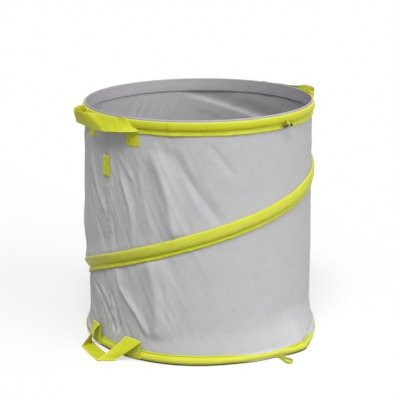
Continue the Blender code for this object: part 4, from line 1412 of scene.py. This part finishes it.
def build_closure_loop(name, azimuth):
    """Narrow tape on edge, bent to a long eye and sewn under the base band."""
    out = np.array(at(azimuth, 1.0, 0.0))
    side = np.array([-out[1], out[0], 0.0])
    root = BASE_RADIUS - 0.0008 + float(foot_kink(azimuth + CLOSURE_CLEAR_DEG))
    seat = out * root + np.array([0, 0, CLOSURE_FOOT])
    edges = []
    other_half = tuple((along, -aside) for along, aside in CLOSURE_SHARES[-2::-1])
    for along, aside in CLOSURE_SHARES + other_half:
        foot = seat + out * along * CLOSURE_LOOP_LENGTH + side * aside * CLOSURE_LOOP_HALF
        lean = 0.0010 * math.sin(3 * along)
        edges.append(np.stack([foot, foot + np.array([0, 0, CLOSURE_TAPE_WIDTH]) + side * lean]))
    return ribbon(name, curve_through(edges, 6), TAPE_THICK, TAPE_COLUMNS, CLOSURE_FLUTTER, 80)


def build_toggle_tape(name, azimuth):
    """Small tape through the toggle's waist."""
    out = np.array(at(azimuth, 1.0, 0.0))
    side = np.array([-out[1], out[0], 0.0])
    up = np.array([0, 0, 1.0])
    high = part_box(name.replace("loop", "tape"))[1].z
    middle = out * (RIM_RADIUS + TOGGLE_STANDOFF) + up * (high - TOGGLE_TAPE_DROP)
    half = side * TOGGLE_TAPE_WIDTH / 2
    edges = []
    for reach, drop in TOGGLE_TAPE_SHARES:
        centre = middle + out * reach * TOGGLE_STANDOFF + up * drop * TOGGLE_TAPE_DROP
        edges.append(np.stack([centre - half, centre + half]))
    return ribbon(name, curve_through(edges, 5), TAPE_THICK, TAPE_COLUMNS, 0.0, 90)


def band_stitches():
    """Stitch rows of the rim band, the hem and the base band."""
    ring = np.append(full_ring(0.5), 180.0)
    flat = OUTER_FACE + RIM_FLAT + ROW_LIFT
    crease = RIM_ARCH_MIDDLE - RIM_ARCH_HALF
    rim_paths = [
        ring_path(ring, flat + 0.0003, RIM_BOTTOM + 0.0028),
        ring_path(ring, flat, crease - 0.0006),
    ]
    rim_rows = threads("rim_band_stitches", rim_paths, LIME_THREAD)
    inner = INNER_FACE - FABRIC_THICK
    hem_paths = [
        ring_path(ring, inner - 0.0009, HEM_BOTTOM + 0.0030, -1),
        ring_path(ring, inner - 0.0006, crease, -1),
    ]
    hem_rows = threads("hem_stitches", hem_paths, GREY_THREAD)
    groove = base_outline(ring)[:, BASE_GROOVE]
    base_path = ring_path(ring, groove[:, 0] + ROW_LIFT, groove[:, 1])
    return rim_rows, hem_rows, threads("base_band_stitches", [base_path], LIME_THREAD)


def wall_stitches():
    """Stitch rows of the sleeve, outside and behind it, and of the side seam."""
    climb = np.arange(SPIRAL_START_DEG + 1, SPIRAL_STOP_DEG - 1, 0.5)
    radius, high = sleeve_outline(climb)
    lines, backs = [], []
    for column in SLEEVE_STITCHED:
        lines.append(ring_path(climb, radius[:, column] + ROW_LIFT, high[:, column]))
        inner = wall_radius(climb, high[:, column]) - FABRIC_THICK
        backs.append(ring_path(climb, inner, high[:, column], -1))
    sleeve_rows = threads("sleeve_stitches", lines, LIME_THREAD)
    seams = seam_lines(SEAM_ROW_FOOT, SHELL_HIGH, 280)
    wall_rows = threads("wall_stitches", [backs[0], backs[-1]] + seams, GREY_THREAD)
    seams = seam_lines(SHELL_HIGH, RIM_BOTTOM - 0.001, 20)
    return sleeve_rows, wall_rows, threads("wall_top_stitches", seams, GREY_THREAD)


def tag_stitches():
    """The row that holds the tag."""
    up = np.linspace(TAG_BOTTOM + 0.002, TAG_TOP - 0.002, 20)
    azimuth = TAG_DEG - degrees_of(TAG_WIDTH) * 0.08 + 0 * up
    path = ring_path(azimuth, wall_radius(azimuth, up) + 0.0023, up)
    return threads("tag_stitches", [path], LIME_THREAD, pitch=0.003)


def seam_lines(low, high, count):
    """The two stitch lines that hold the side seam."""
    up = np.linspace(low, high, count)
    lines = []
    for aside in SEAM_ROWS:
        azimuth = SEAM_DEG + degrees_of(aside) + 0 * up
        lines.append(ring_path(azimuth, wall_radius(azimuth, up) + ROW_LIFT, up))
    return lines


def fold_flat(piece):
    """Give a piece a mesh of its own."""
    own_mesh(piece)


def fasten(piece, body, node=None):
    """Join a piece to its body, and hide the frame node that it stands for."""
    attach(piece, body)
    if node:
        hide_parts(node)
    return piece


def hang(strap, tabs, body, handle):
    """Sew a handle's ends to a body, bake its strap where it lies, and hide the frame's loop."""
    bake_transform(strap)
    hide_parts(f"{handle}_loop")
    for piece, node in tabs:
        fasten(piece, body, node)


def mid_chord(first_deg, second_deg, radius, height, turn=0):
    """Middle of the straight hinge line between two tabs, and the way out from it."""
    ends = at(np.array([first_deg, second_deg]) + turn, radius, height)
    middle = Vector(ends.mean(axis=0))
    out = Vector((middle.x, middle.y, 0)).normalized()
    return middle, out


# The cloth body
wall_foot = build_wall_band("wall_foot", WALL_BOTTOM, SHELL_LOW, WALL_FOOT_ROWS)
fasten(wall_foot, "base")
wall = build_wall_band("wall_shell", SHELL_LOW, SHELL_HIGH, WALL_SHELL_ROWS)
fasten(wall, "base", "wall_fabric")
wall_top = build_wall_band("wall_top", SHELL_HIGH, WALL_TOP, WALL_TOP_ROWS)
fasten(wall_top, "rim")
seam_tape = build_seam_tape("seam_tape", SEAM_TAPE_BOTTOM, SHELL_HIGH, 104)
fasten(seam_tape, "base", "wall_seam_tape")
seam_tape_top = build_seam_tape("seam_tape_top", SHELL_HIGH, HEM_BOTTOM + 0.006, 10)
fasten(seam_tape_top, "rim")
tag = fasten(build_tag(), "base", "side_tag")
sleeve = fasten(build_sleeve(), "base", "spiral_sleeve")
fasten(build_floor(), "base", "floor_panel")
fasten(build_floor_patch(), "base")
fasten(build_base_band(), "base", "base_binding")

# The rim
fasten(build_rim_band(), "rim", "rim_binding")
fasten(build_rim_join(), "rim")
fasten(build_hem(), "rim", "rim_inner_hem")

# Stitch rows
rim_rows, hem_rows, base_rows = band_stitches()
sleeve_rows, wall_rows, wall_top_rows = wall_stitches()
tag_rows = tag_stitches()
for piece in (rim_rows, hem_rows, wall_top_rows):
    fasten(piece, "rim")
for piece in (base_rows, sleeve_rows, wall_rows, tag_rows):
    fasten(piece, "base")
for piece in (wall, seam_tape, tag, sleeve, sleeve_rows, wall_rows, tag_rows):
    fold_flat(piece)

# Handles
for side, turn, lift in (("left", 0, 0.0), ("right", 180, RIGHT_LOOP_LIFT)):
    strap, tabs = build_top_handle(side, turn, lift)
    middle, out = mid_chord(*TOP_TAB_DEGS, TOP_LOOP_RADIUS, TOP_LOOP_HIGH, turn)
    hang(strap, tabs, "rim", f"top_handle_{side}")
strap, tabs = build_bottom_handle()
middle, out = mid_chord(*BOTTOM_TAB_DEGS, BOTTOM_FOLD_RADIUS, BOTTOM_TAB_FOOT)
hang(strap, tabs, "base", "bottom_handle")

# Closures
for word, turn in (("front", 0), ("rear", 180)):
    loop = build_closure_loop(f"closure_eye_{word}", CLOSURE_LOOP_DEG + turn)
    fasten(loop, f"closure_loop_{word}", f"closure_loop_{word}")
    tape = build_toggle_tape(f"toggle_loop_{word}", TOGGLE_DEG + turn)
    fasten(tape, f"toggle_{word}", f"toggle_tape_{word}")

# Frame parts that stay, with their finish
FINISHES = {
    "spiral_spring_wire": STEEL,
    "top_hoop_wire": STEEL,
    "top_hoop_ferrule": STEEL,
    "bottom_hoop_wire": STEEL,
    "bottom_hoop_ferrule": STEEL,
    "spring_cup_bottom": VINYL,
    "spring_cup_top": VINYL,
    "closure_toggle_front": PLASTIC,
    "closure_toggle_rear": PLASTIC,
}
for node, finish in FINISHES.items():
    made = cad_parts[node]
    made.data.materials.clear()
    made.data.materials.append(finish)
for node in ("spiral_spring_wire", "spring_cup_bottom", "spring_cup_top"):
    fold_flat(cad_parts[node])


# Studio


def seen_rays(tree):
    """1 for rays from the camera, in a gloss or through glass; 0 for rays that carry light."""
    path = tree.nodes.new("ShaderNodeLightPath")
    seen = path.outputs["Is Camera Ray"]
    for kind in ("Is Transmission Ray", "Is Glossy Ray"):
        most = tree.nodes.new("ShaderNodeMath")
        most.operation = "MAXIMUM"
        tree.links.new(seen, most.inputs[0])
        tree.links.new(path.outputs[kind], most.inputs[1])
        seen = most.outputs[0]
    return seen


def two_levels(tree, share, low, high, socket):
    """Feed a socket with a value from low to high."""
    made = tree.nodes.new("ShaderNodeMapRange")
    made.inputs["To Min"].default_value = low
    made.inputs["To Max"].default_value = high
    tree.links.new(share, made.inputs["Value"])
    tree.links.new(made.outputs[0], socket)


def build_ground():
    """Pale floor that shows white to the camera and keeps the shadow."""
    mesh = bpy.data.meshes.new("ground")
    corners = [(x * GROUND_SIZE, y * GROUND_SIZE, 0) for x, y in ((-1, -1), (1, -1), (1, 1), (-1, 1))]
    mesh.from_pydata(corners, [], [(0, 1, 2, 3)])
    made = add("ground", mesh)
    graph = Graph("look_ground")
    tree, shader = graph.tree, graph.shader
    shader.inputs["Roughness"].default_value = 0.9
    shader.inputs["Specular IOR Level"].default_value = 0.0
    glow = tree.nodes.new("ShaderNodeEmission")
    glow.inputs["Color"].default_value = (1.0, 1.0, 1.0, 1.0)
    seen = seen_rays(tree)
    two_levels(tree, seen, 0.0, GROUND_GLOW, glow.inputs["Strength"])
    two_levels(tree, seen, GROUND_WHITE, GROUND_SEEN_WHITE, shader.inputs["Base Color"])
    both = graph.node("AddShader", shader.outputs[0], glow.outputs[0])
    tree.links.new(both.outputs[0], tree.nodes["Material Output"].inputs["Surface"])
    mesh.materials.append(graph.material)
    made.location.z = -GROUND_DROP


def build_world():
    """Even sky light; the camera sees white."""
    world = bpy.data.worlds.new("studio")
    bpy.context.scene.world = world
    world.use_nodes = True
    back = world.node_tree.nodes["Background"]
    back.inputs["Color"].default_value = (1.0, 1.0, 1.0, 1.0)
    seen = seen_rays(world.node_tree)
    two_levels(world.node_tree, seen, SKY_LEVEL, 1.0, back.inputs["Strength"])


def build_lamp(name, azimuth, elevation, strength, spread):
    """Soft distant lamp that shines from an azimuth and elevation."""
    lamp = bpy.data.lights.new(name, "SUN")
    lamp.energy = strength
    lamp.angle = math.radians(spread)
    made = add(name, lamp)
    turn, rise = math.radians(azimuth), math.radians(elevation)
    way = Vector((math.sin(turn) * math.cos(rise), -math.cos(turn) * math.cos(rise), math.sin(rise)))
    made.rotation_mode = "QUATERNION"
    made.rotation_quaternion = way.to_track_quat("Z", "Y")


def build_camera():
    """Camera at the photograph's angle."""
    data = bpy.data.cameras.new("camera")
    data.sensor_width = 36.0
    data.lens = data.sensor_width * FOCAL_PIXELS / IMAGE_PIXELS
    camera = add("camera", data)
    pitch, roll = math.radians(CAMERA_PITCH_DEG), math.radians(CAMERA_ROLL_DEG)
    ahead = Vector((0, math.cos(pitch), -math.sin(pitch)))
    up = Vector((0, math.sin(pitch), math.cos(pitch)))
    right = Vector((1, 0, 0))
    tilted_right = right * math.cos(roll) - up * math.sin(roll)
    tilted_up = right * math.sin(roll) + up * math.cos(roll)
    turn = Matrix((tilted_right, tilted_up, -ahead)).transposed()
    camera.matrix_world = Matrix.LocRotScale(
        Vector((CAMERA_RIGHT, -CAMERA_BACK, CAMERA_HEIGHT)), turn.to_quaternion(), None
    )
    bpy.context.scene.camera = camera


build_ground()
build_world()
build_lamp("key", *KEY_LAMP)
build_lamp("fill", *FILL_LAMP)
build_camera()
bpy.context.scene.view_settings.view_transform = "Standard"
